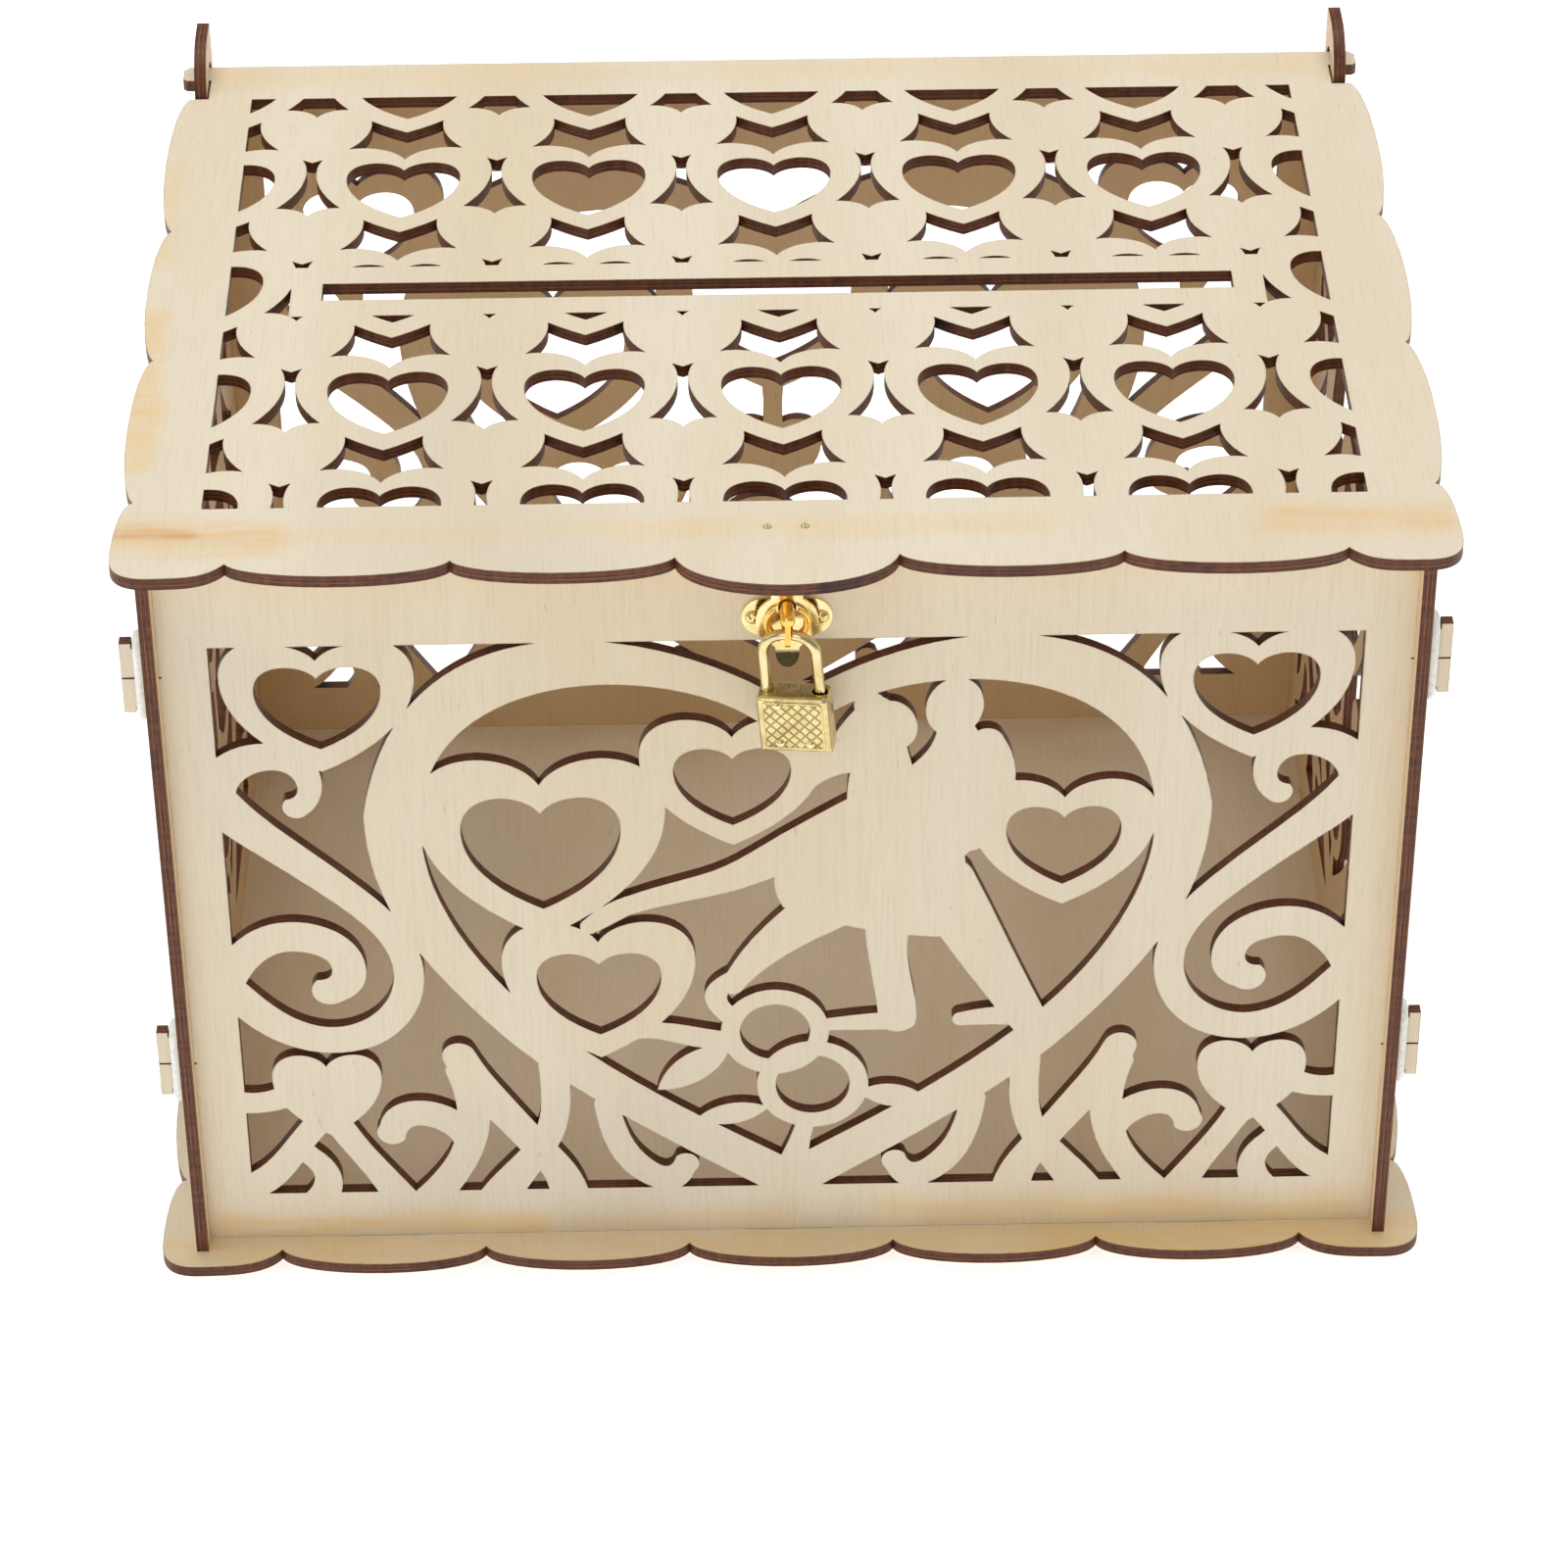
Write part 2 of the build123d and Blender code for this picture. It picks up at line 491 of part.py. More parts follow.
def side_cutout():
    """What is cut out of a side wall's window: a big heart, corner hearts, stems and leaves."""
    half = 91.0
    window = block(-half, WINDOW_LOW, half, WINDOW_HIGH)
    cut = window - heart(0, 12.0, 68.0, 170.0) + heart(0, 27.0, 56.0, 141.0)
    corner = [
        heart(-70.0, 138.0, 21.5, 44.0),
        ribbon((-92.0, 122.0, 9.0), (-84.0, 126.5, 7.0), (-77.0, 134.0, 7.0), (-70.0, 143.0, 7.0)),
        ribbon((-92.0, 112.0, 8.0), (-82.0, 104.0, 7.6), (-71.0, 98.0, 7.2), (-60.0, 101.0, 7.0)),
        ribbon((-92.0, 80.0, 9.0), (-80.0, 84.0, 8.0), (-70.0, 76.0, 7.6), (-66.0, 62.0, 7.6),
               (-54.0, 52.0, 7.0), (-44.0, 54.0, 7.0)),
        ribbon((-92.0, 62.0, 8.0), (-84.0, 53.0, 7.6), (-80.0, 40.0, 7.4), (-84.0, 28.0, 7.4),
               (-93.0, 22.0, 8.0)),
        ribbon((-80.0, 42.0, 6.0), (-70.0, 44.0, 6.6), (-64.0, 36.0, 7.0), (-62.0, 24.0, 7.4),
               (-66.0, 14.0, 8.0)),
        ribbon((-62.0, 28.0, 6.0), (-52.0, 34.0, 6.6), (-44.0, 28.0, 6.6), (-40.0, 14.0, 7.4)),
        ribbon((-46.0, 29.0, 6.0), (-36.0, 34.0, 6.6), (-28.0, 30.0, 6.0)),
    ]
    corner_hole = heart(-70.0, 146.0, 13.6, 27.0)
    middle = [
        heart(0, 92.0, 33.0, 58.0),
        heart(-31.5, 74.0, 14.0, 25.0),
        heart(31.5, 74.0, 14.0, 25.0),
        ribbon((-60.0, 122.0, 6.0), (-45.0, 126.0, 7.0), (-28.0, 128.0, 6.0)),
        ribbon((60.0, 122.0, 6.0), (45.0, 126.0, 7.0), (28.0, 128.0, 6.0)),
        ribbon((-54.0, 92.0, 6.0), (-46.0, 90.0, 7.0), (-36.0, 92.0, 6.0), (-24.0, 97.0, 6.0)),
        ribbon((54.0, 92.0, 6.0), (46.0, 90.0, 7.0), (36.0, 92.0, 6.0), (24.0, 97.0, 6.0)),
        ribbon((-33.0, 76.0, 5.0), (-20.0, 66.0, 6.5), (-9.0, 68.0, 6.0), (0.0, 76.0, 6.0),
               (9.0, 68.0, 6.0), (20.0, 66.0, 6.5), (33.0, 76.0, 5.0)),
        ribbon((0.0, 74.0, 6.0), (0.0, 84.0, 5.0), (0.0, 96.0, 6.0)),
        hoop(0, 50.0, 14.5, 5.2),
        ribbon((0.0, 22.0, 9.0), (0.0, 30.0, 6.0), (0.0, 38.0, 5.0)),
        ribbon((0.0, 62.0, 5.0), (0.0, 68.0, 5.0), (0.0, 75.0, 6.0)),
    ]
    for shape in corner + mirrored(corner) + middle:
        cut = cut - shape
    for hole in [corner_hole] + mirrored([corner_hole]) + [heart(0, 101.0, 23.0, 39.0)]:
        cut = cut + hole
    return cut


def side_panel(side):
    """A side wall: feet, tab slots, and the ear that carries the lid at its back top corner."""
    half = SIDE_DEPTH / 2
    flat = block(-half, PLY, half, WALL_TOP)
    for y in FOOT_Y:
        flat = flat + block(y - FOOT_W / 2, 0.0, y + FOOT_W / 2, PLY)
    ear = make_face([
        ThreePointArc((PIVOT_Y - EAR_R, PIVOT_Z), (PIVOT_Y - EAR_R * cos(radians(45)),
                      PIVOT_Z + EAR_R * sin(radians(45))), (PIVOT_Y, PIVOT_Z + EAR_R)),
        Line((PIVOT_Y, PIVOT_Z + EAR_R), (half - 1.5, PIVOT_Z + EAR_R)),
        ThreePointArc((half - 1.5, PIVOT_Z + EAR_R), (half - 0.44, PIVOT_Z + EAR_R - 0.44),
                      (half, PIVOT_Z + EAR_R - 1.5)),
        Line((half, PIVOT_Z + EAR_R - 1.5), (half, WALL_TOP - 5.0)),
        Line((half, WALL_TOP - 5.0), (PIVOT_Y - EAR_R, WALL_TOP - 5.0)),
        Line((PIVOT_Y - EAR_R, WALL_TOP - 5.0), (PIVOT_Y - EAR_R, PIVOT_Z)),
    ])
    flat = flat + ear - disc(PIVOT_Y, PIVOT_Z, PIVOT_HOLE_R) - side_cutout()
    wall_y = -FRONT_Y - PLY / 2
    for z in TAB_Z:
        for y in (-wall_y, wall_y):
            flat = flat - Pos(y, z) * Rectangle(PLY + 2 * FIT, TAB_H + 2 * FIT)
    return sideways(flat, BOX_HALF_W - PLY if side == 1 else -BOX_HALF_W)


def elastic_ring(side, wall, z):
    """A silicone ring stretched over the neck of one tab."""
    clear = 0.15
    half_y = PLY / 2 + RING_WIRE / 2 + clear
    half_z = TAB_H / 2 - NECK_CUT + 2.6
    path = RectangleRounded(2 * half_y, 2 * half_z, half_y - 0.2).face().outer_wire()
    x = side * (BOX_HALF_W + RING_WIRE / 2 + clear)
    y = wall * (-FRONT_Y - PLY / 2)
    plane = Plane(origin=(x, y, z), x_dir=(0, 1, 0), z_dir=(1, 0, 0))
    loop = plane * path
    start = loop @ 0
    section = Plane(origin=start, z_dir=loop % 0) * Circle(RING_WIRE / 2)
    return sweep(section, path=loop)


# ---- hasp ---------------------------------------------------------------------------
BRACKET_HALF_W = 9.0
HASP_SCREW_X = 4.2
HASP_SCREW_Y = LID_CUSP_Y + 11.7
HASP_SCREW_R = 0.9
SHEET = 0.8               # thickness of the pressed metal
HEAD_H = 1.0              # height of the bracket's screw heads
PIN_Y = -112.2
PIN_Z = 203.6
PIN_R = 0.9
KNUCKLE_R = 1.8
KNUCKLE_L = 4.6
BARREL_L = 7.6
DISC_Z = 187.4            # middle of the leaf's round boss
LEAF_Y = -111.3           # front face of the leaf
LIP_TOP = 180.4
LIP_R = 2.7
PLATE_Z = 187.0
PLATE_R = 5.0             # radius of the fixed plate's round ears
PLATE_EAR_X = 5.3
STAPLE_SCREW_X = 7.7
STAPLE_SCREW_R = 0.9
DOME_R = 2.1
EYE_Y = -115.6            # middle of the staple's eye
EYE_Z = 187.8
EYE_W = 3.3
EYE_H = 4.6
STAPLE_T = 1.3
SADDLE_R = 1.7            # round top of the staple
SADDLE_Z = 191.7
STAPLE_REACH = 10.2
SLOT_GAP = 0.6


def screw_slots(x, y, z, width, depth, turn):
    """The crossed recess of a small screw, seen along Y."""
    arms = Box(2 * width, depth, 0.5) + Box(0.5, depth, 2 * width)
    return Pos(x, y, z) * Rot(0, turn, 0) * arms


def hasp_bracket():
    """A plate screwed under the lid, with two knuckles for the hinge pin."""
    depth = -101.6 - PIN_Y
    plate_z = WALL_TOP - SHEET / 2
    plate = Pos(0, PIN_Y + depth / 2, plate_z) * Box(2 * BRACKET_HALF_W, depth, SHEET)
    for x in (-HASP_SCREW_X, HASP_SCREW_X):
        plate = plate - Pos(x, HASP_SCREW_Y, plate_z) * Cylinder(HASP_SCREW_R + 0.1, 3 * SHEET)
    for x in (-1, 1):
        barrel = Rot(0, 90, 0) * Cylinder(KNUCKLE_R, KNUCKLE_L)
        web = Pos(0, 0.45, (WALL_TOP - PIN_Z) / 2) * Box(KNUCKLE_L, 2.7, WALL_TOP - PIN_Z)
        plate = plate + Pos(x * 6.4, PIN_Y, PIN_Z) * (barrel + web)
    return plate - Pos(0, PIN_Y, PIN_Z) * Rot(0, 90, 0) * Cylinder(PIN_R + 0.02, 40)


def hasp_pin():
    """The hinge pin through the bracket and the leaf."""
    return Pos(0, PIN_Y, PIN_Z) * Rot(0, 90, 0) * Cylinder(PIN_R, 18.4)


def hasp_screws():
    """Two small screws from under the bracket, whose tips come up through the lid."""
    group = []
    under = WALL_TOP - SHEET
    for x in (-HASP_SCREW_X, HASP_SCREW_X):
        length = TOP_Z + 0.15 - under
        shank = Pos(x, HASP_SCREW_Y, under + length / 2) * Cylinder(HASP_SCREW_R - 0.05, length)
        head = Pos(x, HASP_SCREW_Y, under - HEAD_H / 2) * Cylinder(1.7, HEAD_H)
        tip = Pos(x, HASP_SCREW_Y, TOP_Z + 0.45) * Cone(HASP_SCREW_R - 0.05, 0.25, 0.7)
        slot = Pos(x, HASP_SCREW_Y, under - HEAD_H) * Box(3.6, 0.45, 0.7)
        group.append((shank + head + tip) - slot)
    return Compound(children=[solid_of(screw) for screw in group])


def solid_of(part):
    """The single solid of a part."""
    return part.solids()[0]


def leaf_outline():
    """The leaf seen from the front: strap, round boss, tapering neck, rounded lip, keyhole slot."""
    low = LIP_TOP - 1.2
    outline = disc(0, DISC_Z, 7.15) + block(-3.6, DISC_Z + 1, 3.6, PIN_Z) + disc(0, low, LIP_R)
    outline = outline + make_face([
        Line((-6.6, DISC_Z - 2.8), (-LIP_R, LIP_TOP)), Line((-LIP_R, LIP_TOP), (-LIP_R, low)),
        Line((-LIP_R, low), (LIP_R, low)), Line((LIP_R, low), (LIP_R, LIP_TOP)),
        Line((LIP_R, LIP_TOP), (6.6, DISC_Z - 2.8)), Line((6.6, DISC_Z - 2.8), (-6.6, DISC_Z - 2.8)),
    ])
    return outline - keyhole()


def keyhole():
    """The slot that fits over the staple: narrow below, round over the staple's top."""
    half = STAPLE_T / 2 + SLOT_GAP
    low = EYE_Z - EYE_H / 2 - 1.3 - SLOT_GAP
    return block(-half, low, half, SADDLE_Z) + disc(0, SADDLE_Z, SADDLE_R + 0.4)


def hasp_leaf():
    """The swinging leaf, pressed from sheet, with its barrel, raised ring and bent lip."""
    front = Plane(origin=(0, -100, 0), x_dir=(1, 0, 0), z_dir=(0, -1, 0))
    seen = extrude(front * leaf_outline(), amount=30)
    back = LEAF_Y + SHEET
    bent = [(LEAF_Y, PIN_Z), (LEAF_Y, LIP_TOP - 0.6), (LEAF_Y - 2.4, 176.2),
            (LEAF_Y - 1.7, 175.8), (back, LIP_TOP - 1.0), (back, PIN_Z)]
    edges = [Line(a, b) for a, b in zip(bent, bent[1:] + bent[:1])]
    profile = Plane(origin=(-8, 0, 0), x_dir=(0, 1, 0), z_dir=(1, 0, 0)) * make_face(edges)
    plate = (extrude(profile, amount=16) & seen) + leaf_ring()
    barrel = Pos(0, PIN_Y, PIN_Z) * Rot(0, 90, 0) * Cylinder(KNUCKLE_R, BARREL_L)
    bore = Pos(0, PIN_Y, PIN_Z) * Rot(0, 90, 0) * Cylinder(PIN_R + 0.05, 20)
    return plate + barrel - bore


def leaf_ring():
    """The raised round bead around the leaf's slot."""
    plane = Plane(origin=(0, LEAF_Y + 0.1, 0), x_dir=(1, 0, 0), z_dir=(0, -1, 0))
    bead = disc(0, DISC_Z, 5.4) - disc(0, DISC_Z, 3.9) - keyhole()
    return extrude(plane * bead, amount=0.9)


def staple_plate():
    """The fixed plate on the front wall: a middle body with two round ears."""
    outline = block(-PLATE_EAR_X, PLATE_Z - PLATE_R, PLATE_EAR_X, PLATE_Z + PLATE_R)
    for x in (-PLATE_EAR_X, PLATE_EAR_X):
        outline = outline + disc(x, PLATE_Z, PLATE_R)
    for x in (-STAPLE_SCREW_X, STAPLE_SCREW_X):
        outline = outline - disc(x, PLATE_Z, STAPLE_SCREW_R + 0.1)
    outline = outline - block(-STAPLE_T / 2 - 0.05, EYE_Z - 3.15, STAPLE_T / 2 + 0.05, EYE_Z + 3.15)
    plane = Plane(origin=(0, FRONT_Y, 0), x_dir=(1, 0, 0), z_dir=(0, -1, 0))
    return extrude(plane * outline, amount=SHEET - 0.1)


def staple():
    """The eye that comes through the leaf's slot and takes the padlock, with a round top."""
    back = FRONT_Y - 0.1
    front = back - STAPLE_REACH
    low = EYE_Z - EYE_H / 2 - 1.3
    tall = block(front, low, back, SADDLE_Z + 0.9)
    tall = fillet(tall.vertices().group_by(Axis.X)[0], 2.4)
    tang = block(FRONT_Y - 1.0, low - 1.0, FRONT_Y, EYE_Z - 3.1)
    tang = tang + block(FRONT_Y - 1.0, EYE_Z + 3.1, FRONT_Y, SADDLE_Z + 3.0)
    plane = Plane(origin=(-STAPLE_T / 2, 0, 0), x_dir=(0, 1, 0), z_dir=(1, 0, 0))
    loop = extrude(plane * (tall - tang), amount=STAPLE_T)
    start = FRONT_Y - SHEET
    length = start - front
    saddle = Pos(0, start - length / 2, SADDLE_Z) * Rot(90, 0, 0) * Cylinder(SADDLE_R, length)
    saddle = fillet(saddle.faces().sort_by(Axis.Y)[0].edges(), 1.2)
    hole = Plane(origin=(-5, 0, 0), x_dir=(0, 1, 0), z_dir=(1, 0, 0))
    eye = extrude(hole * (Pos(EYE_Y, EYE_Z) * RectangleRounded(EYE_W, EYE_H, 1.6)), amount=10)
    return loop + saddle - eye


def staple_screws():
    """Two domed screws that hold the fixed plate."""
    group = []
    for x, turn in ((-STAPLE_SCREW_X, 20), (STAPLE_SCREW_X, 65)):
        face = FRONT_Y - SHEET + 0.1
        dome = Pos(x, face + 0.9, PLATE_Z) * Sphere(DOME_R)
        dome = dome & Pos(x, face - 1.5, PLATE_Z) * Box(6, 3.0, 6)
        shank = Pos(x, face + 1.4, PLATE_Z) * Rot(90, 0, 0) * Cylinder(STAPLE_SCREW_R - 0.05, 3.2)
        recess = screw_slots(x, face - 1.2, PLATE_Z, 1.0, 1.2, turn)
        group.append(dome + shank - recess)
    return Compound(children=[solid_of(screw) for screw in group])


# ---- padlock ------------------------------------------------------------------------
LOCK_TILT = 4.8           # it hangs a little askew
LOCK_YAW = -12.0
SHACKLE_WIRE = 1.25       # radius
SHACKLE_HALF = 6.15       # middle of the bow to the middle of a leg
CROWN = 0.8               # half length of the straight piece at the top of the bow
CASE_W = 16.6
CASE_H = 15.0
CASE_D = 7.0
CASE_TOP = -15.2          # top of the case, below the middle of the bow's wire
WALL = 0.7
CASE_EDGE_R = 1.1
LEG_HOLE_R = SHACKLE_WIRE + 0.1
TOE_HOLE_R = 1.8          # the loose hole of the short leg
HEEL_COLLAR_R = 1.4       # keeps the long leg in the case
TOE_DEPTH = 4.2           # how far the short leg goes into the case
HEEL_DEPTH = 10.5
NOTCH_UP = 2.0            # middle of the short leg's notch, above its end
RIVET_R = 0.6
RIVET_DOME = 1.3
PLUG_R = 1.7
HANG_Z = EYE_Z - EYE_H / 2 + SHACKLE_WIRE + 0.15
LOCK_PLACE = Pos(0, EYE_Y, HANG_Z) * Rot(0, 0, LOCK_YAW) * Rot(0, -LOCK_TILT, 0)


def shackle():
    """The padlock's bow: a long leg that stays in the case and a notched short one."""
    r = SHACKLE_HALF
    bend = r - CROWN
    toe = CASE_TOP - TOE_DEPTH
    heel = CASE_TOP - HEEL_DEPTH
    cut = bend * (1 - cos(radians(45)))
    path = Wire([
        Line((-r, 0, heel), (-r, 0, -bend)),
        ThreePointArc((-r, 0, -bend), (-r + cut, 0, -cut), (-CROWN, 0, 0)),
        Line((-CROWN, 0, 0), (CROWN, 0, 0)),
        ThreePointArc((CROWN, 0, 0), (r - cut, 0, -cut), (r, 0, -bend)),
        Line((r, 0, -bend), (r, 0, toe)),
    ])
    section = Plane(origin=(-r, 0, heel), z_dir=(0, 0, 1)) * Circle(SHACKLE_WIRE)
    bow = sweep(section, path=path)
    notch = Pos(r - SHACKLE_WIRE, 0, toe + NOTCH_UP) * Box(1.3, 3.0, 1.6)
    collar = Pos(-r, 0, heel + 0.5) * Cylinder(HEEL_COLLAR_R, 1.0)
    return bow + collar - notch


def case_profile(grow):
    """The case seen from the front, with rounded top corners, larger or smaller by grow."""
    half = CASE_W / 2 + grow
    outline = block(-half, CASE_TOP - CASE_H - grow, half, CASE_TOP + grow)
    return fillet(outline.vertices().group_by(Axis.Y)[-1], 1.4 + grow)


def case_shell(front):
    """Half of the case: a pressed shell, split along its middle plane."""
    plane = Plane(origin=(0, 0, 0), x_dir=(1, 0, 0), z_dir=(0, -1, 0))
    way = 1 if front else -1
    shell = extrude(plane * case_profile(0), amount=way * CASE_D / 2)
    rim = shell.faces().sort_by(Axis.Y)[0 if front else -1].edges()
    shell = fillet(rim, CASE_EDGE_R)
    shell = shell - extrude(plane * case_profile(-WALL), amount=way * (CASE_D / 2 - WALL))
    for x, radius in ((-SHACKLE_HALF, LEG_HOLE_R), (SHACKLE_HALF, TOE_HOLE_R)):
        shell = shell - Pos(x, 0, CASE_TOP) * Cylinder(radius, 4)
    shell = shell - Pos(0, 0, CASE_TOP - CASE_H) * Cylinder(PLUG_R + 0.06, 4)
    for x, z in rivet_places():
        shell = shell - Pos(x, 0, z) * Rot(90, 0, 0) * Cylinder(RIVET_R + 0.02, CASE_D + 2)
    return shell


def rivet_places():
    """Three rivets hold the two shells together."""
    low = CASE_TOP - CASE_H + 2.6
    return [(-3.5, CASE_TOP - 2.0), (-3.5, low), (3.5, low)]


def case_rivets():
    """The rivets, domed at both ends."""
    group = []
    for x, z in rivet_places():
        pin = Pos(x, 0, z) * Rot(90, 0, 0) * Cylinder(RIVET_R, CASE_D + 0.2)
        for way in (-1, 1):
            dome = Pos(x, way * (CASE_D / 2 - 0.35), z) * Sphere(RIVET_DOME)
            pin = pin + (dome & Pos(x, way * (CASE_D / 2 + 1.5), z) * Box(4, 3.0, 4))
        group.append(pin)
    return Compound(children=[solid_of(pin) for pin in group])


def latch_bolt():
    """The sliding bolt that locks the short leg, drawn back as with the key turned."""
    z = CASE_TOP - TOE_DEPTH + NOTCH_UP
    return Pos(SHACKLE_HALF - SHACKLE_WIRE - 0.5 - 1.75, 0, z) * Box(3.5, 2.4, 1.1)


def bolt_guide():
    """The block between the legs that guides the bolt and the key plug."""
    low = CASE_TOP - CASE_H + WALL
    top = CASE_TOP - TOE_DEPTH + NOTCH_UP - 0.55
    body = Pos(0, 0, (low + top) / 2) * Box(5.2, CASE_D - 2 * WALL - 0.1, top - low)
    return body - Pos(0, 0, low) * Cylinder(PLUG_R + 0.06, 2 * (top - low) - 2.0)


def key_plug():
    """The round plug that the key turns, with its keyway."""
    low = CASE_TOP - CASE_H + 0.2
    plug = Pos(0, 0, low + 3.6) * Cylinder(PLUG_R, 7.2)
    return plug - Pos(0, 0, low) * Box(0.7, 2.4, 10.0)


# ---- write every sub-part -----------------------------------------------------------
def main():
    keep("base_plate", base_plate())
    keep("front_panel", front_panel())
    keep("back_panel", back_panel())
    keep("left_side_panel", side_panel(-1))
    keep("right_side_panel", side_panel(1))
    keep("lid_panel", lid_panel())
    for side, side_name in ((-1, "left"), (1, "right")):
        for wall, wall_name in ((-1, "front"), (1, "back")):
            for z, z_name in zip(TAB_Z, ("lower", "upper")):
                keep(f"elastic_ring_{wall_name}_{side_name}_{z_name}", elastic_ring(side, wall, z))
    keep("hasp_bracket", hasp_bracket())
    keep("hasp_pin", hasp_pin())
    keep("hasp_bracket_screws", hasp_screws())
    keep("hasp_leaf", hasp_leaf())
    keep("staple_plate", staple_plate())
    keep("staple", staple())
    keep("staple_plate_screws", staple_screws())
    keep("padlock_shackle", LOCK_PLACE * shackle())
    keep("padlock_case_front", LOCK_PLACE * case_shell(True))
    keep("padlock_case_back", LOCK_PLACE * case_shell(False))
    keep("padlock_rivets", LOCK_PLACE * case_rivets())
    keep("padlock_latch_bolt", LOCK_PLACE * latch_bolt())
    keep("padlock_bolt_guide", LOCK_PLACE * bolt_guide())
    keep("padlock_key_plug", LOCK_PLACE * key_plug())
    print(len(MADE), "nodes")


main()
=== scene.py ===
"""A laser-cut wedding card box: looks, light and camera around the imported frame."""

import json
import logging
import math
from collections.abc import Callable
from dataclasses import dataclass, field
from enum import Enum

import bmesh
import bpy
from mathutils import Matrix, Vector
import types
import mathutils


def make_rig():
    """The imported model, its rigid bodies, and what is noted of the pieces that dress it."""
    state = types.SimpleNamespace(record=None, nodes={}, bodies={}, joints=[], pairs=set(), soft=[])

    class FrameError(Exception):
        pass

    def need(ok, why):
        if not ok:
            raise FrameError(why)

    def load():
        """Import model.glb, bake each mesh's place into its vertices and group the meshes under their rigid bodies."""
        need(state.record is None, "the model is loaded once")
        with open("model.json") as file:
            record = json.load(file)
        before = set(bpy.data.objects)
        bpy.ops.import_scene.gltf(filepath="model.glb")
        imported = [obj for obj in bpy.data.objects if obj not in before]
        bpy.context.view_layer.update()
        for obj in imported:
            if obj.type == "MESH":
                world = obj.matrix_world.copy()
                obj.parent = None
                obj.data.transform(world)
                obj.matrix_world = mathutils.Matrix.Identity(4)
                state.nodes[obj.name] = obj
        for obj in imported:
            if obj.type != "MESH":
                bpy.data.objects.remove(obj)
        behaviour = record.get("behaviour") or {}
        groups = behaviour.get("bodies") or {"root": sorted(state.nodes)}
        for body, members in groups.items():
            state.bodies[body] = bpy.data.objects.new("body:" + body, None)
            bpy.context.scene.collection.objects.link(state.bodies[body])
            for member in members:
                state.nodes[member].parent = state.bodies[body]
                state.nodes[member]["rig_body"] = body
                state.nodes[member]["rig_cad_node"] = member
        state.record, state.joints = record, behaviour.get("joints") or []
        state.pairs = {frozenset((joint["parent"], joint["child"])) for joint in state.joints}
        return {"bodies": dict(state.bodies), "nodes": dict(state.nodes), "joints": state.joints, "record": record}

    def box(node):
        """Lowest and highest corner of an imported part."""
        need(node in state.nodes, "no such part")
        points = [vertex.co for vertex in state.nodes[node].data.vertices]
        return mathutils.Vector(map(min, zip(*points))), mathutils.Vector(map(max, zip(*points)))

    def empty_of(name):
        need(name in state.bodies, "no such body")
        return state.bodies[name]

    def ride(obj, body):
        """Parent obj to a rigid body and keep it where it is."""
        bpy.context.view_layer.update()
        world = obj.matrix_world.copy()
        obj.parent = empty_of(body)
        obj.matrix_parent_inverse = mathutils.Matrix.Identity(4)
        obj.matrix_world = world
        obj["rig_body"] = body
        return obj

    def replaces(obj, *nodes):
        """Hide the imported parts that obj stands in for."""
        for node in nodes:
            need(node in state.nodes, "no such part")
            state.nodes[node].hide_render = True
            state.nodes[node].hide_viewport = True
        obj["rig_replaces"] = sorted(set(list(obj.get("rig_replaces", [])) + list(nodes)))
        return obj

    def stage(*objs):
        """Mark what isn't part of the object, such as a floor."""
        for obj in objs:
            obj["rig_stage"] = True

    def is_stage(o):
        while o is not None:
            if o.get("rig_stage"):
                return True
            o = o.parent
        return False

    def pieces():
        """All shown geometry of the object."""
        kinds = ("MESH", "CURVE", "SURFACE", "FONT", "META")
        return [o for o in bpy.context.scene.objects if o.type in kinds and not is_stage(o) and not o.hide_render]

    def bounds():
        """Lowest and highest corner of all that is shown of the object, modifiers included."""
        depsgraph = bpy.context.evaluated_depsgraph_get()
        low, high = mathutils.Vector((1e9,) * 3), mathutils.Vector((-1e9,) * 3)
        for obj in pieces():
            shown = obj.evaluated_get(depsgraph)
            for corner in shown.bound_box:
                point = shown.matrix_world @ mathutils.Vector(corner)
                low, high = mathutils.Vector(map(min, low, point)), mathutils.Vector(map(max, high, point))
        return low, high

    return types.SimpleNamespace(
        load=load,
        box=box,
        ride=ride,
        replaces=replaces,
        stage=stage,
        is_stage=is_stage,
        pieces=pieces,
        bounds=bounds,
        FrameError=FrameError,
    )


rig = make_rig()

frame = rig.load()
CAD_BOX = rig.bounds()

MM = 0.001
SIZE_FILE = "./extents.json"
log = logging.getLogger("card_box")

Colour = tuple[float, float, float, float]


def srgb(red: int, green: int, blue: int) -> Colour:
    """Turn a screen colour into the linear one that shaders take.

    Args:
        red: Red, 0 to 255.
        green: Green, 0 to 255.
        blue: Blue, 0 to 255.

    Returns:
        The linear colour with full alpha.
    """
    def lift(value: int) -> float:
        """One channel, from screen to linear."""
        c = value / 255
        return c / 12.92 if c <= 0.04045 else ((c + 0.055) / 1.055) ** 2.4

    return (lift(red), lift(green), lift(blue), 1.0)


class Sheet(Enum):
    """Which way a sheet of plywood stands: (across the grain, along it, through the sheet)."""

    FLAT = ("X", "Y", "Z")
    FACING = ("X", "Z", "Y")
    SIDEWAYS = ("Y", "Z", "X")


